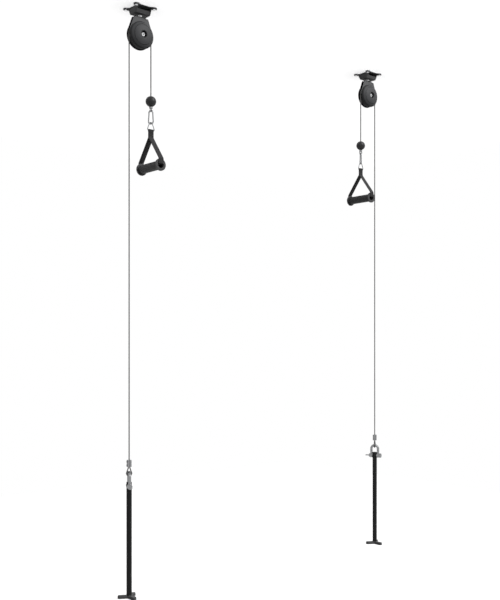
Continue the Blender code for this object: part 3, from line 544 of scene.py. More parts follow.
boss_profile += arc((EAR_RADIUS - EAR_EDGE, EAR_EDGE - EAR_HEIGHT), EAR_EDGE, 0, -90, 5) + [(0, -EAR_HEIGHT)]
ears = [at(x * EAR_CENTRE[0], y * EAR_CENTRE[1], 0) for x in (-1, 1) for y in (-1, 1)]
for ear in ears:
    bracket = combined(bracket, moved(turned(boss_profile, 64), ear), "UNION")
bracket_hole = cylinder(BRACKET_HOLE, -BRACKET_DEPTH - BRACKET_WALL, -BRACKET_DEPTH / 2, 32)
bracket = welded(combined(bracket, bracket_hole, "DIFFERENCE"))
powder_black = skin("black_powder_coat", POWDER_BLACK, 0.55, gloss=0.1, grain=(900, 0.25), patch=(55, 0.2),
                    wear=(POWDER_WORN, 0.5))
add_pair("bracket_shell", bracket, powder_black, ROOT_BODY, ["ceiling_bracket"])

# Bracket screws: zinc plated pan heads with a cross recess, one through each ear into the ceiling, left
# standing at odd angles. Their lighter zinc is painted light, so that they show bright under the ceiling.
SCREW_HEAD_RADIUS = 0.0066
SCREW_HEAD_HEIGHT = 0.0034
SCREW_DOME = ((1, 0.40), (0.985, 0.24), (0.94, 0.11), (0.86, 0.03), (0.76, 0), (0, 0))
SCREW_TURNS = (20, 57, 94, 131)
RECESS_LENGTH = 0.0072
RECESS_WIDTH = 0.0014
RECESS_DEPTH = 0.0012
RECESS_SHARES = (0.6, 0.7)
ZINC = (0.25, 0.253, 0.258)
ZINC_WORN = (0.16, 0.157, 0.155)
LIT_ZINC = (0.78, 0.785, 0.79)


def turn(degrees, axis):
    """Matrix of a plain turn about an axis."""
    return Matrix.Rotation(math.radians(degrees), 4, axis)


def gathered(meshes):
    """Put separate shapes into one mesh."""
    shape = bmesh.new()
    for mesh in meshes:
        shape.from_mesh(mesh)
    return mesh_of(shape)


screw_foot = -EAR_HEIGHT - SCREW_HEAD_HEIGHT
screw_profile = [(0, EAR_EDGE - EAR_HEIGHT), (SCREW_HEAD_RADIUS, EAR_EDGE - EAR_HEIGHT)]
screw_profile += [
    (SCREW_HEAD_RADIUS * spread, screw_foot + SCREW_HEAD_HEIGHT * rise) for spread, rise in SCREW_DOME]
screw_head = turned(screw_profile, 48)
for recess_turn in (0, 90):
    recess_floor = (RECESS_LENGTH * RECESS_SHARES[0], RECESS_WIDTH * RECESS_SHARES[1])
    recess = tapered_box(
        recess_floor, (RECESS_LENGTH, RECESS_WIDTH), screw_foot + RECESS_DEPTH, screw_foot - RECESS_DEPTH)
    screw_head = combined(screw_head, moved(recess, turn(recess_turn, "Z")), "DIFFERENCE")
screws = gathered([moved(screw_head.copy(), ear @ turn(angle, "Z")) for ear, angle in zip(ears, SCREW_TURNS)])
zinc = skin("zinc_plate", ZINC, 0.48, metallic=1.0, gloss=0.5, grain=(1100, 0.12), patch=(180, 0.22),
            wear=(ZINC_WORN, 0.5))
# Lighter copy of the zinc for the screws and the swivel nut: painted light, so that they show bright in the
# shade under the bracket.
lit_zinc = skin(
    "lit_zinc", LIT_ZINC, 0.45, metallic=1.0, gloss=0.5, grain=(1100, 0.1), patch=(180, 0.16))
add_pair("bracket_screws", screws, lit_zinc, ROOT_BODY, nodes=[])

# Swivel bolt with its nut: a zinc plated hex bolt hangs in the bracket's hole, and a hex nut with a washer
# under the bracket carries it. The nut's lighter zinc is painted light against the bracket's shade. The
# black block below is tapped for it and turns with it.
SWIVEL_RADIUS = 0.004
SWIVEL_HEAD_RADIUS = 0.007
SWIVEL_HEAD_HEIGHT = 0.005
SWIVEL_OVERLAP = 0.001
NUT_TOP = -BRACKET_DEPTH - GAP
NUT_BOTTOM = NUT_TOP - 0.0062
NUT_RADIUS = 0.00825
WASHER_THICKNESS = 0.0012
NUT_BORE_GAP = 0.0002
FINE_EDGE = 0.0003
YOKE_TOP = NUT_BOTTOM - 0.0005
YOKE_HEIGHT = 0.018
YOKE_SIZE = (0.052, 0.0104)
YOKE_EDGE = 0.0009
YOKE_BLACK = (0.012, 0.012, 0.012)
HEX_FLAT = 0.90
HEX_ROUND = 1.01
HEX_CHAMFER = 0.10


def hexagon(radius, low, high, bore=0.0):
    """Hexagon nut or bolt head about Z with turned-off corners and, if given, a bore."""
    chamfer = radius * HEX_CHAMFER
    profile = [(0, low), (radius * HEX_FLAT, low), (radius * HEX_ROUND, low + chamfer)]
    profile += [(radius * HEX_ROUND, high - chamfer), (radius * HEX_FLAT, high), (0, high)]
    body = combined(cylinder(radius, low, high, 6), turned(profile, 72), "INTERSECT")
    if bore:
        body = combined(body, cylinder(bore, low - radius, high + radius, 32), "DIFFERENCE")
    return welded(body)


swivel_low = BRACKET_WALL - BRACKET_DEPTH + GAP
swivel_bolt = gathered([
    hexagon(SWIVEL_HEAD_RADIUS, swivel_low, swivel_low + SWIVEL_HEAD_HEIGHT),
    cylinder(SWIVEL_RADIUS, YOKE_TOP - YOKE_HEIGHT + SWIVEL_OVERLAP, swivel_low + SWIVEL_OVERLAP, 32),
])
add_pair("swivel_bolt", swivel_bolt, zinc, "block")
washer_low = NUT_TOP - WASHER_THICKNESS
washer = turned([(NUT_RADIUS, NUT_TOP), (NUT_RADIUS, washer_low),
                 (SWIVEL_RADIUS + GAP, washer_low), (SWIVEL_RADIUS + GAP, NUT_TOP)], 48)
swivel_nut = hexagon(NUT_RADIUS, NUT_BOTTOM, washer_low, SWIVEL_RADIUS + NUT_BORE_GAP)
add_pair("swivel_nut", gathered([swivel_nut, rounded(washer, FINE_EDGE)]), lit_zinc, "block")
yoke = rounded(box(YOKE_SIZE, YOKE_TOP, YOKE_TOP - YOKE_HEIGHT), YOKE_EDGE)
yoke_bore = cylinder(SWIVEL_RADIUS + GAP, YOKE_TOP - 2 * YOKE_HEIGHT, YOKE_TOP + YOKE_HEIGHT, 32)
yoke_black = skin("blackened_block", YOKE_BLACK, 0.5, gloss=0.1, grain=(900, 0.2), patch=(70, 0.2))
add_pair("block_yoke", welded(combined(yoke, yoke_bore, "DIFFERENCE")), yoke_black, "block")

# Cheek plates: two teardrop plates cut from 2.5 mm sheet with eased edges, painted dark grey on their
# outer faces, with painted shade, near black, on their edges and inner faces where they face each other.
# They hold the wheel's axle between them and are pinned to the block at their top.
AXLE_Z = -0.113
CHEEK_GAP = 0.0055
CHEEK_THICKNESS = 0.0025
CHEEK_EDGE = 0.0004
CHEEK_TOP_Z = -0.040
CHEEK_SHOULDER_X = 0.031
CHEEK_SHOULDER_RADIUS = 0.0045
CHEEK_RADIUS = 0.0575
CHEEK_LOWER_RADIUS = 0.052
CHEEK_STEP_ANGLE = -2
AXLE_RADIUS = 0.006
CHEEK_FACE_Y = CHEEK_GAP + CHEEK_THICKNESS + GAP
PLATE_GREY = (0.100, 0.101, 0.104)
PLATE_WORN = (0.18, 0.18, 0.18)
GAP_SHADE_BLACK = (0.010, 0.010, 0.010)


def upright(degrees):
    """Matrix from an XY drawing to an upright plane turned from the XZ plane about Z."""
    return turn(degrees, "Z") @ turn(90, "X")


def tangent_angle(first, first_radius, second, second_radius):
    """Angle of the outward normal where a line touches two circles on their right side."""
    between = Vector(first) - Vector(second)
    lean = math.acos((second_radius - first_radius) / between.length)
    return math.degrees(math.atan2(between.y, between.x) - lean)


def repainted(surface, colour, mask):
    """Give a material a second colour where a mask, made from the coordinates, is 1."""
    tree = surface.node_tree
    shader = tree.nodes["Principled BSDF"]
    paint = shader.inputs["Base Color"].links[0].from_socket
    share = mask(tree, add_node(tree, "ShaderNodeTexCoord").outputs)
    feed(tree, shader, {"Base Color": mixed(tree, share, paint, (*colour, 1))})


def gap_shade_mask(tree, place):
    """Mask of painted shade: the edges and inner faces, which don't look away from the block's middle plane.
    """
    product = vector_calc(tree, "MULTIPLY", place["Object"], place["Normal"])
    outward = made(tree, "ShaderNodeSeparateXYZ", {0: product}, "Y")
    return ramp(tree, outward, CHEEK_GAP, CHEEK_GAP * 0.6)


shoulder = (CHEEK_SHOULDER_X, CHEEK_TOP_Z - AXLE_Z - CHEEK_SHOULDER_RADIUS)
flank = tangent_angle(shoulder, CHEEK_SHOULDER_RADIUS, (0, 0), CHEEK_RADIUS)
cheek_side = arc(shoulder, CHEEK_SHOULDER_RADIUS, 90, flank, 12)
cheek_side += arc((0, 0), CHEEK_RADIUS, flank, CHEEK_STEP_ANGLE, 16)
cheek_side += arc((0, 0), CHEEK_LOWER_RADIUS, CHEEK_STEP_ANGLE, -89, 40)
cheek_outlines = [cheek_side + flipped(cheek_side), arc((0, 0), AXLE_RADIUS + GAP, 0, 354, 59)]
cheek_grey = skin("grey_painted_plate", PLATE_GREY, 0.55, gloss=0.12, grain=(700, 0.12), patch=(30, 0.16),
                  wear=(PLATE_WORN, 0.45))
# Painted shade: the cheeks' edges and inner faces turn near black, for the shade between the plates.
repainted(cheek_grey, GAP_SHADE_BLACK, gap_shade_mask)
for cheek_name, cheek_low in (("front_cheek", CHEEK_GAP), ("rear_cheek", -CHEEK_GAP - CHEEK_THICKNESS)):
    cheek = plate(cheek_outlines, cheek_low, cheek_low + CHEEK_THICKNESS, CHEEK_EDGE)
    add_pair(cheek_name, moved(cheek, at(0, 0, AXLE_Z) @ upright(0)), cheek_grey, "block")

# Wheel covers: domed shells moulded in black plastic with a fine texture, and a band of painted shade
# round the rim. Each has a steep cone, a ring groove and an open hub, and snaps on to its cheek.
COVER_RADIUS = 0.0555
COVER_WALL = 0.0025
COVER_RIM_HEIGHT = 0.007
COVER_RIM_EDGE = 0.0016
COVER_GROOVE_RADIUS = 0.0415
COVER_GROOVE_DEPTH = 0.0018
COVER_GROOVE_HALF = 0.0009
COVER_CONE_HEIGHT = 0.0165
COVER_CONE_BULGE = 0.0007
COVER_HUB_HEIGHT = 0.0232
COVER_HUB_RADIUS = 0.018
COVER_HUB_EDGE = 0.0011
COVER_DOME_BULGE = 0.001
COVER_BORE_RADIUS = 0.014
COVER_PLASTIC = (0.072, 0.073, 0.076)
COVER_RIM_SHADE = (0.034, 0.0345, 0.0358)
COVER_SHADE_RADIUS = 0.0518
COVER_TONE_EDGE = 0.0012


def about_axle(mesh):
    """Stand a shape turned about Z on the wheel axle, with its top towards +Y."""
    return moved(mesh, at(0, 0, AXLE_Z) @ turn(-90, "X"))


def bulged(first, last, bulge, count):
    """Points of a profile from one point to another, swelled outwards in between."""
    first, last = Vector(first), Vector(last)
    outward = Vector((last.y - first.y, first.x - last.x)).normalized()
    shares = [i / count for i in range(count + 1)]
    return [first.lerp(last, share) + outward * bulge * 4 * share * (1 - share) for share in shares]


def rim_shade_mask(tree, place):
    """Mask of the painted shade round the covers' rims: what lies past a distance from the wheel axle, in
    both stations.
    """
    level = vector_calc(tree, "MULTIPLY", place["Object"], (1, 0, 1))
    folded = vector_calc(tree, "ABSOLUTE", level)
    distance = vector_calc(tree, "DISTANCE", folded, (STATION_X, 0, -AXLE_Z), out="Value")
    return ramp(tree, distance, COVER_SHADE_RADIUS - COVER_TONE_EDGE, COVER_SHADE_RADIUS)


rim_centre = (COVER_RADIUS - COVER_RIM_EDGE, COVER_RIM_HEIGHT - COVER_RIM_EDGE)
cover_rim = arc(rim_centre, COVER_RIM_EDGE, 0, 48, 5)
groove_foot = (COVER_GROOVE_RADIUS + COVER_GROOVE_HALF, COVER_CONE_HEIGHT)
groove_head = (COVER_GROOVE_RADIUS - COVER_GROOVE_HALF, COVER_CONE_HEIGHT + COVER_GROOVE_HALF)
hub_centre = (-COVER_BORE_RADIUS - COVER_HUB_EDGE, COVER_HUB_HEIGHT - COVER_HUB_EDGE)
cover_profile = [(COVER_RADIUS, 0)] + cover_rim
cover_profile += bulged(cover_rim[-1], groove_foot, COVER_CONE_BULGE, 8)[1:]
cover_profile.append((COVER_GROOVE_RADIUS, COVER_CONE_HEIGHT - COVER_GROOVE_DEPTH))
cover_profile += bulged(groove_head, (COVER_HUB_RADIUS, COVER_HUB_HEIGHT), COVER_DOME_BULGE, 10)
cover_profile += flipped(arc(hub_centre, COVER_HUB_EDGE, 0, 90, 4)) + [
    (COVER_BORE_RADIUS, 0),
    (COVER_BORE_RADIUS + COVER_WALL, 0),
    (COVER_BORE_RADIUS + COVER_WALL, COVER_HUB_HEIGHT - COVER_WALL),
    (COVER_GROOVE_RADIUS - COVER_WALL, COVER_CONE_HEIGHT - COVER_WALL),
    (COVER_RADIUS - COVER_WALL, COVER_RIM_HEIGHT - COVER_WALL),
    (COVER_RADIUS - COVER_WALL, 0),
]
cover_plastic = skin("cover_plastic", COVER_PLASTIC, 0.55, gloss=0.12, grain=(1900, 0.35), patch=(26, 0.14))
# Painted shade: a darker band round each cover's rim.
repainted(cover_plastic, COVER_RIM_SHADE, rim_shade_mask)
rear_cover = moved(about_axle(turned(cover_profile, 144)), at(0, CHEEK_FACE_Y, 0))
front_cover = moved(rear_cover.copy(), Matrix.Diagonal((1, -1, 1, 1)))
front_cover.flip_normals()
for cover_name, cover in (("front_cover", front_cover), ("rear_cover", rear_cover)):
    add_pair(cover_name, cover, cover_plastic, "block", smooth=28)

# Axle: a zinc plated bolt whose tall round head with a hex socket stands free in the front hub. It goes
# through both cheeks and the wheel's bearing and is held by a hex nut in the rear hub.
AXLE_HEAD_RADIUS = 0.0078
AXLE_HEAD_HEIGHT = 0.0165
AXLE_HEAD_EDGE = 0.0012
AXLE_SOCKET_RADIUS = 0.0034
AXLE_SOCKET_DEPTH = 0.003
AXLE_THREAD_EDGE = 0.0008
AXLE_NUT_RADIUS = 0.011
AXLE_NUT_HEIGHT = 0.006
AXLE_TIP = CHEEK_FACE_Y + AXLE_NUT_HEIGHT + 0.0017
LIT_SATIN_ZINC = (0.42, 0.425, 0.43)

axle_face = -CHEEK_FACE_Y - AXLE_HEAD_HEIGHT
axle_profile = [
    (0, AXLE_TIP), (AXLE_RADIUS - AXLE_THREAD_EDGE, AXLE_TIP), (AXLE_RADIUS, AXLE_TIP - AXLE_THREAD_EDGE),
    (AXLE_RADIUS, -CHEEK_FACE_Y), (AXLE_HEAD_RADIUS, -CHEEK_FACE_Y),
]
axle_corner = (AXLE_HEAD_RADIUS - AXLE_HEAD_EDGE, axle_face + AXLE_HEAD_EDGE)
axle_profile += arc(axle_corner, AXLE_HEAD_EDGE, 0, -90, 5)
axle_socket = cylinder(AXLE_SOCKET_RADIUS, axle_face - AXLE_SOCKET_DEPTH, axle_face + AXLE_SOCKET_DEPTH, 6)
axle = combined(turned(axle_profile + [(0, axle_face)], 72), axle_socket, "DIFFERENCE")
# A rougher copy of the zinc, lighter than the rest: the lighter tone is painted light, so that the head shows
# bright in the shade of its hub.
lit_satin_zinc = skin(
    "lit_satin_zinc", LIT_SATIN_ZINC, 0.72, metallic=1.0, gloss=0.5, grain=(1100, 0.1), patch=(180, 0.16))
add_pair("axle_bolt", about_axle(axle), lit_satin_zinc, "block")
axle_nut = hexagon(AXLE_NUT_RADIUS, CHEEK_FACE_Y, CHEEK_FACE_Y + AXLE_NUT_HEIGHT, AXLE_RADIUS + NUT_BORE_GAP)
add_pair("axle_nut", about_axle(axle_nut), zinc, "block")

# Pulley wheels: moulded in dark nylon with a V groove for the cable, webs lightened on both faces,
# and turning on a shielded ball bearing that is pressed in.
WHEEL_RIM_RADIUS = 0.053
WHEEL_HALF_WIDTH = 0.0046
WHEEL_EDGE = 0.0003
GROOVE_ROOT_RADIUS = 0.0494
GROOVE_MOUTH = 0.0036
GROOVE_ROOT = 0.0014
GROOVE_FLOOR = GROOVE_ROOT * 0.6
GROOVE_CORNER = (0.0006, 0.0002)
BEARING_RADIUS = 0.012
BEARING_SHIELD = (0.0080, 0.0103)
BEARING_SHIELD_DEPTH = 0.0004
WEB_RADII = (0.0175, 0.0435)
WEB_DEPTH = 0.0013
WHEEL_NYLON = (0.018, 0.018, 0.019)


def both_halves(half):
    """Whole profile of a shape whose lower half mirrors its upper half."""
    return half + [(radius, -height) for radius, height in reversed(half)]


wheel_profile = both_halves([
    (BEARING_RADIUS + WHEEL_EDGE, WHEEL_HALF_WIDTH - WHEEL_EDGE),
    (BEARING_RADIUS + 2 * WHEEL_EDGE, WHEEL_HALF_WIDTH),
    (WEB_RADII[0], WHEEL_HALF_WIDTH),
    (WEB_RADII[0] + WEB_DEPTH, WHEEL_HALF_WIDTH - WEB_DEPTH),
    (WEB_RADII[1] - WEB_DEPTH, WHEEL_HALF_WIDTH - WEB_DEPTH),
    (WEB_RADII[1], WHEEL_HALF_WIDTH),
    (WHEEL_RIM_RADIUS - WHEEL_EDGE, WHEEL_HALF_WIDTH),
    (WHEEL_RIM_RADIUS, WHEEL_HALF_WIDTH - WHEEL_EDGE),
    (WHEEL_RIM_RADIUS, GROOVE_MOUTH),
    (GROOVE_ROOT_RADIUS + GROOVE_CORNER[0], GROOVE_ROOT + GROOVE_CORNER[1]),
    (GROOVE_ROOT_RADIUS, GROOVE_FLOOR),
])
wheel_nylon = skin("wheel_nylon", WHEEL_NYLON, 0.42, grain=(1300, 0.15), patch=(60, 0.18))
add_pair("pulley_wheel", about_axle(turned(wheel_profile, 144)), wheel_nylon, "wheel")

shield_face = WHEEL_HALF_WIDTH - BEARING_SHIELD_DEPTH
bearing_profile = both_halves([
    (AXLE_RADIUS + GAP, WHEEL_HALF_WIDTH),
    (BEARING_SHIELD[0], WHEEL_HALF_WIDTH),
    (BEARING_SHIELD[0] + BEARING_SHIELD_DEPTH / 2, shield_face),
    (BEARING_SHIELD[1] - BEARING_SHIELD_DEPTH / 2, shield_face),
    (BEARING_SHIELD[1], WHEEL_HALF_WIDTH),
    (BEARING_RADIUS, WHEEL_HALF_WIDTH),
])
add_pair("wheel_bearing", about_axle(turned(bearing_profile, 72)), zinc, "block")

# Cable: 5 mm galvanised wire rope of six strands laid round a core. It runs up from the handle, half
# a turn over the wheel and down to the clamp, and is drawn as strands that follow a guide line.
PITCH_RADIUS = 0.0525
CABLE_RADIUS = 0.0025
STRAND_RADIUS = 0.00092
CORE_RADIUS = 0.00135
LAY_LENGTH = 0.034
STRAND_STEP = 0.0021
WRAP_END = 0.001
BALL_Z = -0.372
BALL_RADIUS = 0.022
BALL_FLAT_RADIUS = 0.0035
BALL_FLAT_Z = math.sqrt(BALL_RADIUS ** 2 - BALL_FLAT_RADIUS ** 2)
CLAMP_TOP_Z = -1.841
ROPE_STEEL = (0.125, 0.124, 0.122)


def geometry_group(name, result, inputs):
    """Start a geometry node group with named inputs and one result."""
    tree = bpy.data.node_groups.new(name, "GeometryNodeTree")
    for socket, kind in inputs.items():
        tree.interface.new_socket(socket, in_out="INPUT", socket_type=f"NodeSocket{kind}")
    tree.interface.new_socket(result, in_out="OUTPUT", socket_type="NodeSocketGeometry")
    return tree, tree.nodes.new("NodeGroupInput").outputs, tree.nodes.new("NodeGroupOutput")


def geometry_result(tree, geometry, entry, leave):
    """End a geometry node group with real meshes in the material it is given."""
    real = made(tree, "GeometryNodeRealizeInstances", {"Geometry": geometry})
    dressed = made(tree, "GeometryNodeSetMaterial", {"Geometry": real, "Material": entry["Material"]})
    feed(tree, leave, {0: dressed})
    return tree


def wire_rope_tree():
    """Geometry nodes that lay strands and a core along the guide line they are given."""
    tree, entry, leave = geometry_group("wire_rope", "Rope", {
        "Guide": "Geometry", "Strands": "Int", "Lay Radius": "Float", "Strand Radius": "Float",
        "Core Radius": "Float", "Lay Length": "Float", "Step": "Float", "Material": "Material"})
    line = made(tree, "GeometryNodeResampleCurve", {
        "Curve": entry["Guide"], "Length": entry["Step"]}, mode="LENGTH")
    strands = add_node(tree, "GeometryNodeDuplicateElements", {
        "Geometry": line, "Amount": entry["Strands"]}, domain="SPLINE")
    run = made(tree, "GeometryNodeSplineParameter", out="Length")
    share = calc(tree, "DIVIDE", strands.outputs["Duplicate Index"], entry["Strands"])
    total = calc(tree, "ADD", calc(tree, "DIVIDE", run, entry["Lay Length"]), share)
    outward = made(tree, "ShaderNodeVectorRotate", {
        "Vector": made(tree, "GeometryNodeInputNormal"), "Axis": made(tree, "GeometryNodeInputTangent"),
        "Angle": calc(tree, "MULTIPLY", total, math.tau)}, rotation_type="AXIS_ANGLE")
    laid = made(tree, "GeometryNodeSetPosition", {
        "Geometry": strands.outputs["Geometry"], "Offset": scaled(tree, outward, entry["Lay Radius"])})
    both = add_node(tree, "GeometryNodeJoinGeometry")
    for curve, sides, radius in ((laid, 8, entry["Strand Radius"]), (line, 6, entry["Core Radius"])):
        ring = made(tree, "GeometryNodeCurvePrimitiveCircle", {"Resolution": sides, "Radius": radius})
        cover = {"Curve": curve, "Profile Curve": ring, "Fill Caps": True}
        feed(tree, both, {0: made(tree, "GeometryNodeCurveToMesh", cover)})
    return geometry_result(tree, both.outputs[0], entry, leave)


def grown(guides, tree, values):
    """Mesh that a geometry node tree makes from guide lines, each a row of points."""
    curve = bpy.data.curves.new("guide", "CURVE")
    curve.dimensions = "3D"
    for points in guides:
        add_line(curve, points, False)
    source = placed("guide", curve)
    maker = source.modifiers.new("maker", "NODES")
    maker.node_group = tree
    for socket in tree.interface.items_tree:
        if socket.in_out == "INPUT" and socket.name in values:
            maker[socket.identifier] = values[socket.name]
    return baked(source)


def rope_surface():
    """Galvanised wire: each strand's fine wires as a slanted ripple, dull grey with painted shade in the
    valleys.
    """
    surface, tree, shader = new_material("galvanised_rope")
    place = made(tree, "ShaderNodeTexCoord", out="Object")
    wires = made(tree, "ShaderNodeTexWave", {
        "Vector": place, "Scale": 420.0, "Distortion": 0.6, "Detail": 1.0}, "Fac",
        wave_type="BANDS", bands_direction="DIAGONAL")
    dust = noise(tree, place, 260.0, 4.0)
    # Painted shade: darker in the valleys between the wires, times a dust mottle.
    painted_shade_and_mottle = calc(tree, "MULTIPLY", ramp(tree, wires, 0, 1, 0.72, 1), ramp(tree, dust, 0.3, 0.7, 0.84, 1.08))
    feed(tree, shader, {
        "Metallic": 1.0, "Base Color": scaled(tree, ROPE_STEEL, painted_shade_and_mottle),
        "Roughness": ramp(tree, dust, 0, 1, 0.34, 0.56), "Normal": bump(tree, wires, 0.35, 0.0002)})
    return surface


WIRE_ROPE = wire_rope_tree()
galvanised_rope = rope_surface()


def rope(points):
    """Mesh of the wire rope along a row of points."""
    return grown([points], WIRE_ROPE, {
        "Strands": 6, "Lay Radius": CABLE_RADIUS - STRAND_RADIUS, "Strand Radius": STRAND_RADIUS,
        "Core Radius": CORE_RADIUS, "Lay Length": LAY_LENGTH, "Step": STRAND_STEP,
        "Material": galvanised_rope})


wrap_path = [Vector((PITCH_RADIUS, -WRAP_END))] + arc((0, 0), PITCH_RADIUS, 0, 180, 64)
wrap = moved(rope(wrap_path + [Vector((-PITCH_RADIUS, -WRAP_END))]), at(0, 0, AXLE_Z) @ upright(0))
add_pair("cable_over_wheel", wrap, galvanised_rope, "block", smooth=60)
for run_name, run_x, run_bottom, run_body in (
    ("cable_handle_run", -PITCH_RADIUS, BALL_Z + BALL_FLAT_Z + GAP, "cable_stop"),
    ("cable_pin_run", PITCH_RADIUS, CLAMP_TOP_Z + GAP, "pin_line"),
):
    run_ends = [Vector((run_x, 0, AXLE_Z - WRAP_END - GAP)), Vector((run_x, 0, run_bottom))]
    run_pair = add_pair(run_name, rope(run_ends), galvanised_rope, None, smooth=60)
    for run_side, run_piece in run_pair.items():
        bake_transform(run_piece)

# Stop ball: a solid black rubber ball moulded in two halves, so that it has a fine seam at its middle,
# with a small flat where the cable goes in. A zinc plated ferrule with a welded eye hangs below it.
HANDLE_X = -PITCH_RADIUS
SEAM_HEIGHT = 0.00012
SEAM_HALF_ANGLE = 1.2
BALL_TILT = 4
FERRULE_RADIUS = 0.0076
FERRULE_HEIGHT = 0.007
FERRULE_EDGE = 0.0008
FERRULE_END_RADIUS = FERRULE_RADIUS * 0.8
EYE_RADIUS = 0.0065
EYE_WIRE = 0.002
EYE_SINK = 0.002
CRIMP_PLACES = (0.0024, 0.0046)
CRIMP_DEPTH = 0.0003
CRIMP_HALF_WIDTHS = (0.0005, 0.0002)
CARABINER_TURN = 60
BALL_RUBBER = (0.026, 0.026, 0.027)


def wire(points, radius, closed=False, widths=None, resolution=6):
    """Round wire along a row of points, in a ring or with capped ends."""
    curve = bpy.data.curves.new("route", "CURVE")
    curve.dimensions = "3D"
    curve.bevel_depth = radius
    curve.bevel_resolution = resolution
    curve.use_fill_caps = not closed
    add_line(curve, points, closed, widths)
    return welded(baked(placed("wire", curve)))


def ring_groove(radius, depth, place, mouth, floor):
    """Points of a shallow groove round a turned shape, given its half widths at mouth and floor."""
    return [(radius, place + mouth), (radius - depth, place + floor),
            (radius - depth, place - floor), (radius, place - mouth)]


ball_start = math.degrees(math.acos(BALL_FLAT_RADIUS / BALL_RADIUS))
ball_half = [(point.x, point.y) for point in arc((0, 0), BALL_RADIUS, ball_start, SEAM_HALF_ANGLE, 30)]
ball_profile = both_halves([(0, ball_half[0][1])] + ball_half)
ball_profile.insert(len(ball_profile) // 2, (BALL_RADIUS + SEAM_HEIGHT, 0))
ball_rubber = skin("ball_rubber", BALL_RUBBER, 0.42, gloss=0.25, grain=(1400, 0.3), patch=(70, 0.25))
ball = moved(turned(ball_profile, 96), at(HANDLE_X, 0, BALL_Z) @ turn(BALL_TILT, "X"))
add_pair("stop_ball", ball, ball_rubber, "cable_stop")

ferrule_top = BALL_Z - BALL_FLAT_Z - GAP
ferrule_low = ferrule_top - FERRULE_HEIGHT
eye_z = ferrule_low + EYE_SINK - EYE_WIRE - EYE_RADIUS
ferrule = [(0, ferrule_top), (FERRULE_END_RADIUS, ferrule_top), (FERRULE_RADIUS, ferrule_top - FERRULE_EDGE)]
for crimp in CRIMP_PLACES:
    ferrule += ring_groove(FERRULE_RADIUS, CRIMP_DEPTH, ferrule_top - crimp, *CRIMP_HALF_WIDTHS)
ferrule += [(FERRULE_RADIUS, ferrule_low + FERRULE_EDGE), (FERRULE_END_RADIUS, ferrule_low), (0, ferrule_low)]
eye_ring = wire(arc((0, 0), EYE_RADIUS, 0, 352.5, 47), EYE_WIRE, True)
eye_ring.transform(at(0, 0, eye_z) @ upright(CARABINER_TURN + 90))
ball_eye = moved(gathered([turned(ferrule, 64), eye_ring]), at(HANDLE_X, 0, 0))
add_pair("ball_eye", ball_eye, zinc, "cable_stop")

# Snap hook: a 6 mm zinc plated steel wire bent into a hook, with a spring gate that turns on a rivet
# at the bottom and shuts against the hook's nose.
CARABINER_WIRE = 0.003
CARABINER_TOP_RADIUS = 0.0085
CARABINER_BOTTOM_RADIUS = 0.011
CARABINER_LENGTH = 0.0553
CARABINER_END_EDGE = 0.0006
GATE_RADIUS = 0.0026
GATE_NOSE_GAP = 0.0006
GATE_NOSE_RADIUS = GATE_RADIUS * 0.8
GATE_NOSE_EDGE = 0.0006
GATE_SLOT = 0.0004
GATE_SLOT_SHARES = (0.78, 0.24)
RIVET_RADIUS = 0.0011
RIVET_HALF_LENGTH = GATE_RADIUS * 1.12


def along(direction):
    """Matrix that lays the Z axis along a direction."""
    return Vector((0, 0, 1)).rotation_difference(Vector(direction)).to_matrix().to_4x4()


carabiner_top = eye_z - EYE_RADIUS + EYE_WIRE + GAP + CARABINER_WIRE
carabiner_bottom = carabiner_top - CARABINER_LENGTH
hinge_end = Vector((CARABINER_BOTTOM_RADIUS, carabiner_bottom + CARABINER_BOTTOM_RADIUS))
nose_end = Vector((CARABINER_TOP_RADIUS, carabiner_top - CARABINER_TOP_RADIUS))
gate_way = (nose_end - hinge_end).normalized()
gate_foot = hinge_end + gate_way * (GATE_RADIUS + GAP)
carabiner_path = arc((0, hinge_end.y), CARABINER_BOTTOM_RADIUS, 0, -180, 32)
carabiner_path += arc((0, nose_end.y), CARABINER_TOP_RADIUS, 180, 0, 28)
carabiner = rounded(wire(carabiner_path, CARABINER_WIRE, resolution=8), CARABINER_END_EDGE, 2, 50)
add_pair("carabiner_body", moved(carabiner, at(HANDLE_X, 0, 0) @ upright(CARABINER_TURN)), zinc, "carabiner")

gate_length = (nose_end - gate_foot).length - GATE_NOSE_GAP
gate_profile = [
    (0, gate_length), (GATE_NOSE_RADIUS, gate_length), (GATE_RADIUS, gate_length - GATE_NOSE_EDGE)]
for slot_share in GATE_SLOT_SHARES:
    slot_z = gate_length * slot_share
    gate_profile += [(GATE_RADIUS, slot_z + GATE_SLOT), (GATE_RADIUS - GATE_SLOT, slot_z),
                     (GATE_RADIUS, slot_z - GATE_SLOT)]
gate_profile += arc((0, 0), GATE_RADIUS, 0, -85, 8) + [(0, -GATE_RADIUS)]
rivet = rounded(cylinder(RIVET_RADIUS, -RIVET_HALF_LENGTH, RIVET_HALF_LENGTH, 24), FINE_EDGE)
gate = gathered([turned(gate_profile, 40), moved(rivet, turn(90, "X"))])
gate.transform(along((gate_way.x, 0, gate_way.y)))
gate.transform(at(HANDLE_X, 0, 0) @ turn(CARABINER_TURN, "Z") @ at(gate_foot.x, 0, gate_foot.y))
add_pair("carabiner_gate", gate, zinc, "gate")

# Triangle ring: 4 mm zinc plated wire bent to a triangle and butt welded on one flank, where the weld
# leaves a small bead. The strap is sewn round its straight bar.
RING_WIRE = 0.002
RING_APEX_RADIUS = 0.008
RING_CORNER_RADIUS = 0.005
RING_HALF_WIDTH = 0.0165
RING_GAP = 0.0006
RING_HEIGHT = 0.0328
WELD_BEAD = (1.0, 1.10, 1.17, 1.10, 1.0)
WELD_SHARES = (0.40, 0.44, 0.48, 0.52, 0.56)

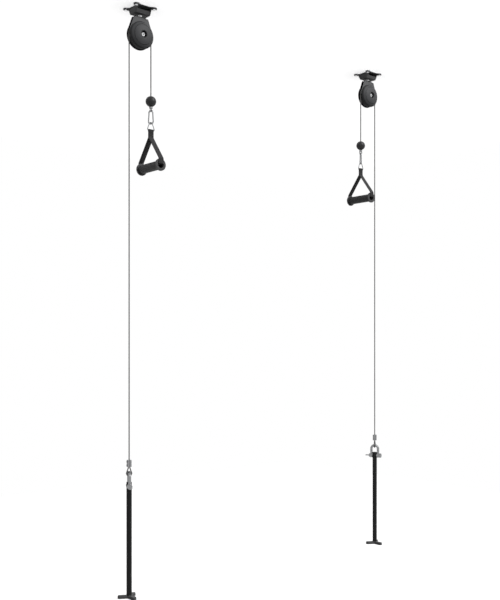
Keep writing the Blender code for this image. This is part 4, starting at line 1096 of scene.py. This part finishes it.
ring_apex_z = carabiner_bottom + CARABINER_WIRE + RING_GAP + RING_WIRE
ring_bar_z = ring_apex_z - RING_HEIGHT
apex = Vector((0, ring_apex_z - RING_APEX_RADIUS))
ring_corner = Vector((RING_HALF_WIDTH - RING_CORNER_RADIUS, ring_bar_z + RING_CORNER_RADIUS))
ring_side = tangent_angle(apex, RING_APEX_RADIUS, ring_corner, RING_CORNER_RADIUS)
ring_path = arc(ring_corner, RING_CORNER_RADIUS, -90, ring_side, 12)
ring_widths = [1] * len(ring_path) + list(WELD_BEAD)
flank_ends = (ring_path[-1], apex + polar(RING_APEX_RADIUS, ring_side))
ring_path += [flank_ends[0].lerp(flank_ends[1], share) for share in WELD_SHARES]
ring_path += arc(apex, RING_APEX_RADIUS, ring_side, 180 - ring_side, 24)
ring_path += arc((-ring_corner.x, ring_corner.y), RING_CORNER_RADIUS, 180 - ring_side, 270, 12)
ring_widths += [1] * (len(ring_path) - len(ring_widths))
ring = wire(ring_path, RING_WIRE, True, ring_widths)
add_pair("triangle_ring", moved(ring, at(HANDLE_X, 0, 0) @ upright(0)), zinc, "ring")

# Handle strap: 25 mm black polyester webbing, 2.5 mm thick. It goes round the ring's bar, is sewn
# together below it, forks to the grip's ends and runs through the grip's bore.
STRAP_WIDTH = 0.025
STRAP_THICKNESS = 0.0025
STRAP_SELVEDGE = 0.0009
STRAP_BAR_GAP = 0.0005
STRAP_SEWN_LENGTH = 0.0302
STRAP_NECK_DROP = 0.007
STRAP_LEG_DROP = 0.095
STRAP_FORK_RADIUS = 0.012
STRAP_BEND = 0.00225
STRAP_FOOT = 0.001
STRAP_SLACK = 0.00006
STRAP_RISE = 0.00425
GRIP_Z = -0.643
GRIP_HALF_LENGTH = 0.073
WEAVE_PITCH = 0.00165
RIB_PITCH = WEAVE_PITCH * 0.7
WEBBING_BLACK = (0.025, 0.025, 0.026)


def fillet(points, corner_radius, count=8):
    """Row of points with each inner corner replaced by a round stretch."""
    path = [points[0]]
    for before, corner, after in zip(points, points[1:], points[2:]):
        first = (before - corner).normalized()
        second = (after - corner).normalized()
        half = math.acos(max(-1, min(1, first.dot(second)))) / 2
        reach = min(corner_radius / math.tan(half), (before - corner).length / 2, (after - corner).length / 2)
        start = corner + first * reach
        end = corner + second * reach
        for share in [index / count for index in range(count + 1)]:
            path.append(start * (1 - share) ** 2 + corner * 2 * share * (1 - share) + end * share ** 2)
    path.append(points[-1])
    return path


def ribbon(path, width, thickness, edge):
    """Closed band of webbing along a closed flat path, with round edges and a map in metres."""
    section = []
    for side_x, side_t, start in ((1, 1, 0), (-1, 1, 90), (-1, -1, 180), (1, -1, 270)):
        centre = (side_x * (width / 2 - edge), side_t * (thickness / 2 - edge))
        section += arc(centre, edge, start, start + 90, 3)
    rings = []
    for before, point, after in zip(path[-1:] + path, path, path[1:] + path[:1]):
        way = (after - before).normalized()
        aside = Vector((way.y, -way.x))
        rings.append([(place.x, *(point + aside * place.y)) for place in section])
    across = lengths_along(section + section[:1])
    return lofted(rings, across, lengths_along(path + path[:1]), True, along_first=True)


def webbing_surface():
    """Polyester webbing: a herringbone of slanted yarns across the width, with sheen, faint fading and
    painted shade on low yarns.
    """
    surface, tree, shader = new_material("black_webbing")
    chart = made(tree, "ShaderNodeUVMap", uv_map="UVMap")
    spread = add_node(tree, "ShaderNodeSeparateXYZ", {0: chart}).outputs
    skewed = calc(tree, "ADD", spread["X"], calc(tree, "PINGPONG", spread["Y"], STRAP_WIDTH / 4))
    yarn = calc(tree, "SINE", calc(tree, "MULTIPLY", skewed, math.tau / WEAVE_PITCH))
    rib = calc(tree, "SINE", calc(tree, "MULTIPLY", spread["Y"], math.tau / RIB_PITCH))
    lifted = ramp(tree, calc(tree, "MULTIPLY", yarn, rib), -1, 1)
    fade = noise(tree, made(tree, "ShaderNodeTexCoord", out="Object"), 60.0, 6.0)
    fading = ramp(tree, fade, 0.3, 0.7, 0.85, 1.15)
    # Painted light and shade: raised yarns lighter and low yarns darker, times the faint fading.
    painted_shade_and_mottle = calc(tree, "MULTIPLY", ramp(tree, lifted, 0, 1, 0.62, 1.25), fading)
    feed(tree, shader, {
        "Specular IOR Level": 0.25, "Sheen Weight": 0.10, "Sheen Roughness": 0.4,
        "Base Color": scaled(tree, WEBBING_BLACK, painted_shade_and_mottle), "Roughness": ramp(tree, lifted, 0, 1, 0.85, 0.62),
        "Normal": bump(tree, lifted, 0.6)})
    return surface


half_thick = STRAP_THICKNESS / 2
face_y = GRIP_HALF_LENGTH + GAP + half_thick
split_z = ring_bar_z - STRAP_SEWN_LENGTH
base_z = GRIP_Z + STRAP_RISE
leg = fillet([
    Vector((half_thick, ring_bar_z - STRAP_NECK_DROP)),
    Vector((half_thick, split_z)),
    Vector((face_y, split_z - STRAP_LEG_DROP)),
    Vector((face_y, base_z + STRAP_BEND + STRAP_FOOT)),
], STRAP_FORK_RADIUS, 10)
strap_path = arc((0, ring_bar_z), RING_WIRE + STRAP_BAR_GAP + half_thick, 90, 10, 10) + leg
strap_path += arc((face_y - STRAP_BEND, base_z + STRAP_BEND), STRAP_BEND, 0, -90, 10)
strap_path += [Vector((face_y * share, base_z)) for share in (0.8, 0.6, 0.4, 0.2)]
strap_path += [Vector((0, base_z))] + flipped(strap_path)[:-1]
strap = ribbon(strap_path, STRAP_WIDTH, STRAP_THICKNESS - STRAP_SLACK, STRAP_SELVEDGE)
add_pair("webbing_strap", moved(strap, at(HANDLE_X, 0, 0)), webbing_surface(), "strap")

# Strap stitching: bonded thread in a box with a cross in it, through both layers below the ring, so
# that the same lock stitches show on the two faces.
SEWN_HALF_WIDTH = 0.0095
SEWN_TOP = ring_bar_z - 0.0095
SEWN_BOTTOM = split_z + 0.0035
SEWN_FACE = STRAP_THICKNESS + 0.00005
SEWN_SEAMS = ((0, 1), (1, 2), (2, 3), (3, 0), (0, 2), (1, 3))
STITCH_PITCH = 0.0032
STITCH_RADIUS = 0.00032
STITCH_FILL = 0.42
THREAD_GREY = (0.060, 0.060, 0.062)


def stitch_tree():
    """Geometry nodes that lay one short thread after another along the lines they are given."""
    tree, entry, leave = geometry_group("stitches", "Stitches", {
        "Lines": "Geometry", "Pitch": "Float", "Thread Radius": "Float", "Material": "Material"})
    spots = add_node(tree, "GeometryNodeCurveToPoints", {
        "Curve": entry["Lines"], "Length": entry["Pitch"]}, mode="LENGTH").outputs
    bead = made(tree, "GeometryNodeMeshUVSphere", {
        "Segments": 8, "Rings": 5, "Radius": entry["Thread Radius"]})
    length = calc(tree, "MULTIPLY", calc(tree, "DIVIDE", entry["Pitch"], entry["Thread Radius"]), STITCH_FILL)
    scale = made(tree, "ShaderNodeCombineXYZ", {0: 1.0, 1: 1.0, 2: length})
    beads = made(tree, "GeometryNodeInstanceOnPoints", {
        "Points": spots["Points"], "Instance": bead, "Rotation": spots["Rotation"], "Scale": scale})
    return geometry_result(tree, beads, entry, leave)


sewn_lines = []
for sewn_y in (-SEWN_FACE, SEWN_FACE):
    corners = [Vector((x, sewn_y, z)) for x, z in (
        (-SEWN_HALF_WIDTH, SEWN_TOP), (SEWN_HALF_WIDTH, SEWN_TOP),
        (SEWN_HALF_WIDTH, SEWN_BOTTOM), (-SEWN_HALF_WIDTH, SEWN_BOTTOM))]
    sewn_lines += [[corners[first], corners[last]] for first, last in SEWN_SEAMS]
thread = skin("bonded_thread", THREAD_GREY, 0.5, grain=(3200, 0.5), patch=(300, 0.3))
stitches = grown(sewn_lines, stitch_tree(), {
    "Pitch": STITCH_PITCH, "Thread Radius": STITCH_RADIUS, "Material": thread})
add_pair("strap_stitches", moved(stitches, at(HANDLE_X, 0, 0)), thread, "strap", nodes=[])

# Grip: a plastic tube with a moulded flange at each end and a rubber sleeve between the flanges. The
# sleeve has a fine leathery skin and two shallow rings near each end.
GRIP_BORE = 0.014
GRIP_BORE_EDGE = 0.0006
GRIP_TUBE_RADIUS = 0.0157
GRIP_SLEEVE_RADIUS = 0.0185
GRIP_FLANGE_RADIUS = 0.025
GRIP_FLANGE_THICKNESS = 0.007
GRIP_FLANGE_EDGE = 0.0012
SLEEVE_RING_PLACES = (0.0045, 0.0075)
SLEEVE_RING_DEPTH = 0.0004
SLEEVE_RING_HALF_WIDTHS = (0.0007, 0.0003)
SLEEVE_EDGE = 0.0005
GRIP_PLASTIC = (0.068, 0.068, 0.070)
GRIP_RUBBER = (0.042, 0.042, 0.043)


def about_grip(mesh):
    """Lay a shape turned about Z along the grip's axis."""
    return moved(mesh, at(HANDLE_X, 0, GRIP_Z) @ turn(-90, "X"))


flange_face = GRIP_HALF_LENGTH - GRIP_FLANGE_THICKNESS
grip_half = [(GRIP_BORE, GRIP_HALF_LENGTH - GRIP_BORE_EDGE), (GRIP_BORE + GRIP_BORE_EDGE, GRIP_HALF_LENGTH)]
for edge_y, edge_start in (
    (GRIP_HALF_LENGTH - GRIP_FLANGE_EDGE, 90), (flange_face + GRIP_FLANGE_EDGE, 0)
):
    edge_centre = (GRIP_FLANGE_RADIUS - GRIP_FLANGE_EDGE, edge_y)
    grip_half += arc(edge_centre, GRIP_FLANGE_EDGE, edge_start, edge_start - 90, 5)
grip_half.append((GRIP_TUBE_RADIUS, flange_face))
grip_plastic = skin("grip_plastic", GRIP_PLASTIC, 0.48, grain=(1700, 0.3), patch=(60, 0.2))
add_pair("grip_tube", about_grip(turned(both_halves(grip_half), 96)), grip_plastic, "grip")

sleeve_end = flange_face - GAP
sleeve_half = [(GRIP_TUBE_RADIUS + GAP, sleeve_end), (GRIP_SLEEVE_RADIUS - SLEEVE_EDGE, sleeve_end)]
sleeve_half.append((GRIP_SLEEVE_RADIUS, sleeve_end - SLEEVE_EDGE))
for ring_place in SLEEVE_RING_PLACES:
    sleeve_half += ring_groove(
        GRIP_SLEEVE_RADIUS, SLEEVE_RING_DEPTH, sleeve_end - ring_place, *SLEEVE_RING_HALF_WIDTHS)
grip_rubber = skin("grip_rubber", GRIP_RUBBER, 0.60, grain=(650, 0.75), patch=(90, 0.3))
add_pair("grip_sleeve", about_grip(turned(both_halves(sleeve_half), 96)), grip_rubber, "grip")

# Cable clamp: two halves pressed from zinc plated steel and drawn together on the cable and its tail
# by two bolts, one above the other, with their hex nuts on the left of both stations.
PIN_X = PITCH_RADIUS
CLAMP_HEIGHT = 0.029
CLAMP_HALF_WIDTH = 0.009
CLAMP_PARTING = 0.0003
CLAMP_DEPTH = 0.012
CLAMP_EDGE = 0.0018
CLAMP_WAIST_RADIUS = 0.0045
CLAMP_WAIST_DEPTH = 0.0010
CLAMP_NUT_RADIUS = 0.0035
CLAMP_STUB_END = 0.003
CLAMP_NUT_TOP = CLAMP_STUB_END * 0.8
CLAMP_NUT_SINK = 0.0006
CLAMP_NUT_SPACING = 0.015
CLAMP_NUT_TURN = 11
CLAMP_STUB_RADIUS = 0.0018

clamp_bottom = CLAMP_TOP_Z - CLAMP_HEIGHT
clamp_middle = (CLAMP_TOP_Z + clamp_bottom) / 2
clamp_half = box((CLAMP_HALF_WIDTH - CLAMP_PARTING, CLAMP_DEPTH), CLAMP_TOP_Z, clamp_bottom)
clamp_half = moved(rounded(clamp_half, CLAMP_EDGE, 4), at((CLAMP_HALF_WIDTH + CLAMP_PARTING) / 2, 0, 0))
waist_x = CLAMP_HALF_WIDTH + CLAMP_WAIST_RADIUS - CLAMP_WAIST_DEPTH
clamp_waist = cylinder(CLAMP_WAIST_RADIUS, -CLAMP_DEPTH, CLAMP_DEPTH, 48)
clamp_waist.transform(at(waist_x, 0, clamp_middle) @ turn(90, "X"))
clamp_half = welded(combined(clamp_half, clamp_waist, "DIFFERENCE"))
clamp_parts = [clamp_half, moved(clamp_half.copy(), turn(180, "Z"))]
for bolt_side in (-1, 1):
    bolt_z = clamp_middle + bolt_side * CLAMP_NUT_SPACING / 2
    clamp_bolt = gathered([
        hexagon(CLAMP_NUT_RADIUS, -CLAMP_NUT_SINK, CLAMP_NUT_TOP),
        rounded(cylinder(CLAMP_STUB_RADIUS, -2 * CLAMP_HALF_WIDTH - GAP, CLAMP_STUB_END, 24), FINE_EDGE),
    ])
    bolt_place = at(-CLAMP_HALF_WIDTH, 0, bolt_z) @ along((-1, 0, 0)) @ turn(bolt_side * CLAMP_NUT_TURN, "Z")
    clamp_parts.append(moved(clamp_bolt, bolt_place))
add_pair("cable_clamp", moved(gathered(clamp_parts), at(PIN_X, 0, 0)), zinc, "pin_line", kept_about=PIN_X)

# Cable eye: the rope's end laid round a zinc thimble, a ring rolled from sheet with its lips turned
# out, so that the shackle's bar doesn't chafe the rope.
EYE_LOOP_RADIUS = 0.0103
EYE_TAIL_OFFSET = 0.0028
EYE_TAIL_LENGTH = 0.002
SHACKLE_TURN = 115
SHACKLE_BAR_Z = -1.8955
SHACKLE_BAR_RADIUS = 0.006
THIMBLE_GAP = 0.0004
THIMBLE_HALF_WIDTH = 0.0037
THIMBLE_LIP = 0.0017
THIMBLE_INNER = SHACKLE_BAR_RADIUS + THIMBLE_GAP
THIMBLE_SEAT = EYE_LOOP_RADIUS - CABLE_RADIUS - GAP
# Radius it starts from, the share of the lip beyond it and the share of the half width.
THIMBLE_SECTION = (
    (THIMBLE_INNER, 0, 0.2), (THIMBLE_INNER, 0.12, 0.48), (THIMBLE_INNER, 0.35, 0.7),
    (THIMBLE_SEAT, 0.30, 0.88), (THIMBLE_SEAT, 0.75, 1), (THIMBLE_SEAT, 0.95, 0.96),
    (THIMBLE_SEAT, 1, 0.85), (THIMBLE_SEAT, 0.4, 0.6), (THIMBLE_SEAT, 0.1, 0.4), (THIMBLE_SEAT, 0, 0.2),
)

eye_top = clamp_bottom - GAP - SHACKLE_BAR_Z
eye_tail = Vector((EYE_TAIL_OFFSET, eye_top - EYE_TAIL_LENGTH))
eye_touch = math.degrees(math.atan2(eye_tail.y, eye_tail.x) - math.acos(EYE_LOOP_RADIUS / eye_tail.length))
eye_side = [Vector((EYE_TAIL_OFFSET, eye_top)), eye_tail]
eye_path = eye_side + arc((0, 0), EYE_LOOP_RADIUS, eye_touch, -180 - eye_touch, 40) + flipped(eye_side)
cable_eye = moved(rope(eye_path), at(PIN_X, 0, SHACKLE_BAR_Z) @ upright(SHACKLE_TURN - 90))
add_pair("cable_eye", cable_eye, galvanised_rope, "pin_line", smooth=60)

pin_way = (*polar(1, SHACKLE_TURN), 0)
thimble_profile = both_halves([
    (start + THIMBLE_LIP * lip, THIMBLE_HALF_WIDTH * width) for start, lip, width in THIMBLE_SECTION])
thimble = moved(turned(thimble_profile, 72), at(PIN_X, 0, SHACKLE_BAR_Z) @ along(pin_way))
add_pair("thimble", thimble, zinc, "pin_line")

# Shackle: a drop forged, zinc plated bow of 12 mm bar with a boss at each foot, and a pin with a hex
# head, a collar and a flat tab with a hole to turn it by hand.
PIN_Z = -1.947
PIN_RADIUS = 0.006
SHACKLE_HALF_WIDTH = 0.0175
BOSS_RADIUS = 0.011
BOSS_EDGE = 0.0012
PIN_HEAD_RADIUS = 0.011
PIN_HEAD_LENGTH = 0.010
PIN_OVERLAP = 0.001
PIN_COLLAR_RADIUS = 0.009
PIN_COLLAR_LENGTH = 0.005
PIN_COLLAR_EDGE = 0.0008
PIN_TAB_LENGTH = 0.019
PIN_TAB_SIZE = (0.0045, 0.014)
PIN_TAB_EDGE = 0.0016
PIN_TAB_HOLE = 0.0026
PIN_TAB_HOLE_SHARE = 0.62

pin_drop = PIN_Z - SHACKLE_BAR_Z
bow_foot = Vector((SHACKLE_HALF_WIDTH, pin_drop))
bow_path = [bow_foot] + arc((0, -SHACKLE_HALF_WIDTH), SHACKLE_HALF_WIDTH, 0, 180, 40) + flipped([bow_foot])
bow = moved(wire(bow_path, SHACKLE_BAR_RADIUS, resolution=8), upright(SHACKLE_TURN))
pin_axis = at(0, 0, pin_drop) @ along(pin_way)
boss_inner = SHACKLE_HALF_WIDTH - SHACKLE_BAR_RADIUS
boss_outer = SHACKLE_HALF_WIDTH + SHACKLE_BAR_RADIUS
for boss_low, boss_high in ((-boss_outer, -boss_inner), (boss_inner, boss_outer)):
    boss = rounded(cylinder(BOSS_RADIUS, boss_low, boss_high, 64), BOSS_EDGE, 4)
    bow = combined(bow, moved(boss, pin_axis), "UNION")
pin_bore = moved(cylinder(PIN_RADIUS + GAP, -2 * boss_outer, 2 * boss_outer, 48), pin_axis)
bow = moved(welded(combined(bow, pin_bore, "DIFFERENCE")), at(PIN_X, 0, SHACKLE_BAR_Z))
add_pair("shackle_bow", bow, zinc, "shackle")

pin_face = boss_outer + GAP
pin_collar = pin_face + PIN_COLLAR_LENGTH
pin_tab = box(PIN_TAB_SIZE, pin_collar + PIN_TAB_LENGTH, pin_collar - PIN_COLLAR_LENGTH / 2)
tab_hole = cylinder(PIN_TAB_HOLE, -PIN_TAB_SIZE[1], PIN_TAB_SIZE[1], 32)
tab_hole.transform(at(0, 0, pin_collar + PIN_TAB_LENGTH * PIN_TAB_HOLE_SHARE) @ turn(90, "Y"))
pin = gathered([
    cylinder(PIN_RADIUS, -pin_face - PIN_OVERLAP, pin_face + PIN_OVERLAP, 48),
    hexagon(PIN_HEAD_RADIUS, -pin_face - PIN_HEAD_LENGTH, -pin_face),
    rounded(cylinder(PIN_COLLAR_RADIUS, pin_face, pin_collar, 64), PIN_COLLAR_EDGE),
    welded(combined(rounded(pin_tab, PIN_TAB_EDGE, 4), tab_hole, "DIFFERENCE")),
])
pin_place = at(PIN_X, 0, PIN_Z) @ turn(SHACKLE_TURN, "Z") @ turn(90, "Y")
add_pair("shackle_pin", moved(pin, pin_place), zinc, "shackle")

# Loading post: a 22 mm round steel bar for plates with a 1 inch bore, powder coated black. Its rim is
# chamfered, the shackle's pin goes through near the top, and plates have rubbed its lower half.
POST_RADIUS = 0.011
POST_CHAMFER = 0.0015
POST_CHAMFER_BREAK = POST_CHAMFER * 0.3
POST_TOP = PIN_Z + 0.017
FOOT_HEIGHT = 0.012
FLOOR_Z = cad_box[0][2]
RUB_HEIGHT = 0.24
POST_BLACK = (0.018, 0.018, 0.0185)
RUBBED_BLACK = (0.034, 0.033, 0.032)


def rub_marks(tree, place):
    """Mask of upright rub marks that grow denser towards the foot."""
    height = made(tree, "ShaderNodeSeparateXYZ", {0: place["Object"]}, "Z")
    low = ramp(tree, height, FLOOR_Z + RUB_HEIGHT, FLOOR_Z + FOOT_HEIGHT)
    stretched = made(tree, "ShaderNodeMapping", {"Vector": place["Object"], "Scale": (1.0, 1.0, 0.06)})
    streaks = ramp(tree, noise(tree, stretched, 520.0, 4.0), 0.54, 0.70)
    return calc(tree, "MULTIPLY", low, streaks, clamp=True)


post_low = FLOOR_Z + FOOT_HEIGHT + GAP
post = turned([
    (0, post_low), (POST_RADIUS, post_low), (POST_RADIUS, (post_low + POST_TOP) / 2),
    (POST_RADIUS, POST_TOP - POST_CHAMFER), (POST_RADIUS - POST_CHAMFER_BREAK, POST_TOP - POST_CHAMFER_BREAK),
    (POST_RADIUS - POST_CHAMFER, POST_TOP), (0, POST_TOP)])
post_bore = cylinder(PIN_RADIUS + GAP, -2 * POST_RADIUS, 2 * POST_RADIUS, 48)
post_bore.transform(at(0, 0, PIN_Z) @ along(pin_way))
post = moved(welded(combined(post, post_bore, "DIFFERENCE")), at(PIN_X, 0, 0))
post_coat = skin("rubbed_powder_coat", POST_BLACK, 0.50, gloss=0.12, grain=(900, 0.25), patch=(45, 0.2))
repainted(post_coat, RUBBED_BLACK, rub_marks)
add_pair("loading_post", post, post_coat, "post")

# Foot star: pressed from 2.5 mm sheet with three arms, edges turned down to the floor, powder coated,
# and welded under the post to carry the plates.
FOOT_REACH = 0.046
FOOT_ARM_WIDTH = 0.018
FOOT_WALL = 0.0025
FOOT_EDGE = 0.0018
FOOT_FORK_RADIUS = 0.006
FOOT_INNER_FORK_RADIUS = 0.005
FOOT_ARM_ANGLES = (30, 150, 270)


def foot_outline(half_width, joint_radius):
    """Outline of three arms with round ends and rounded forks between them."""
    outline = []
    for angle in FOOT_ARM_ANGLES:
        tip = polar(FOOT_REACH - FOOT_ARM_WIDTH / 2, angle)
        outline += arc(tip, half_width, angle - 90, angle + 90, 24)
        fork = polar(half_width / math.sin(math.radians(60)), angle + 60)
        before = fork + polar(joint_radius, angle)
        after = fork + polar(joint_radius, angle + 120)
        outline += fillet([before, fork, after], joint_radius)[1:-1]
    return outline


foot_top = FLOOR_Z + FOOT_HEIGHT
foot_outside = foot_outline(FOOT_ARM_WIDTH / 2, FOOT_FORK_RADIUS)
foot_inside = foot_outline(FOOT_ARM_WIDTH / 2 - FOOT_WALL, FOOT_INNER_FORK_RADIUS)
foot = plate([foot_outside], FLOOR_Z - 2 * FOOT_EDGE, foot_top, FOOT_EDGE)
foot_below = box((0.2, 0.2), FLOOR_Z, FLOOR_Z - 4 * FOOT_EDGE)
for foot_cut in (foot_below, plate([foot_inside], FLOOR_Z - FOOT_WALL, foot_top - FOOT_WALL)):
    foot = combined(foot, foot_cut, "DIFFERENCE")
add_pair("foot_star", moved(welded(foot), at(PIN_X, 0, 0)), powder_black, "post")
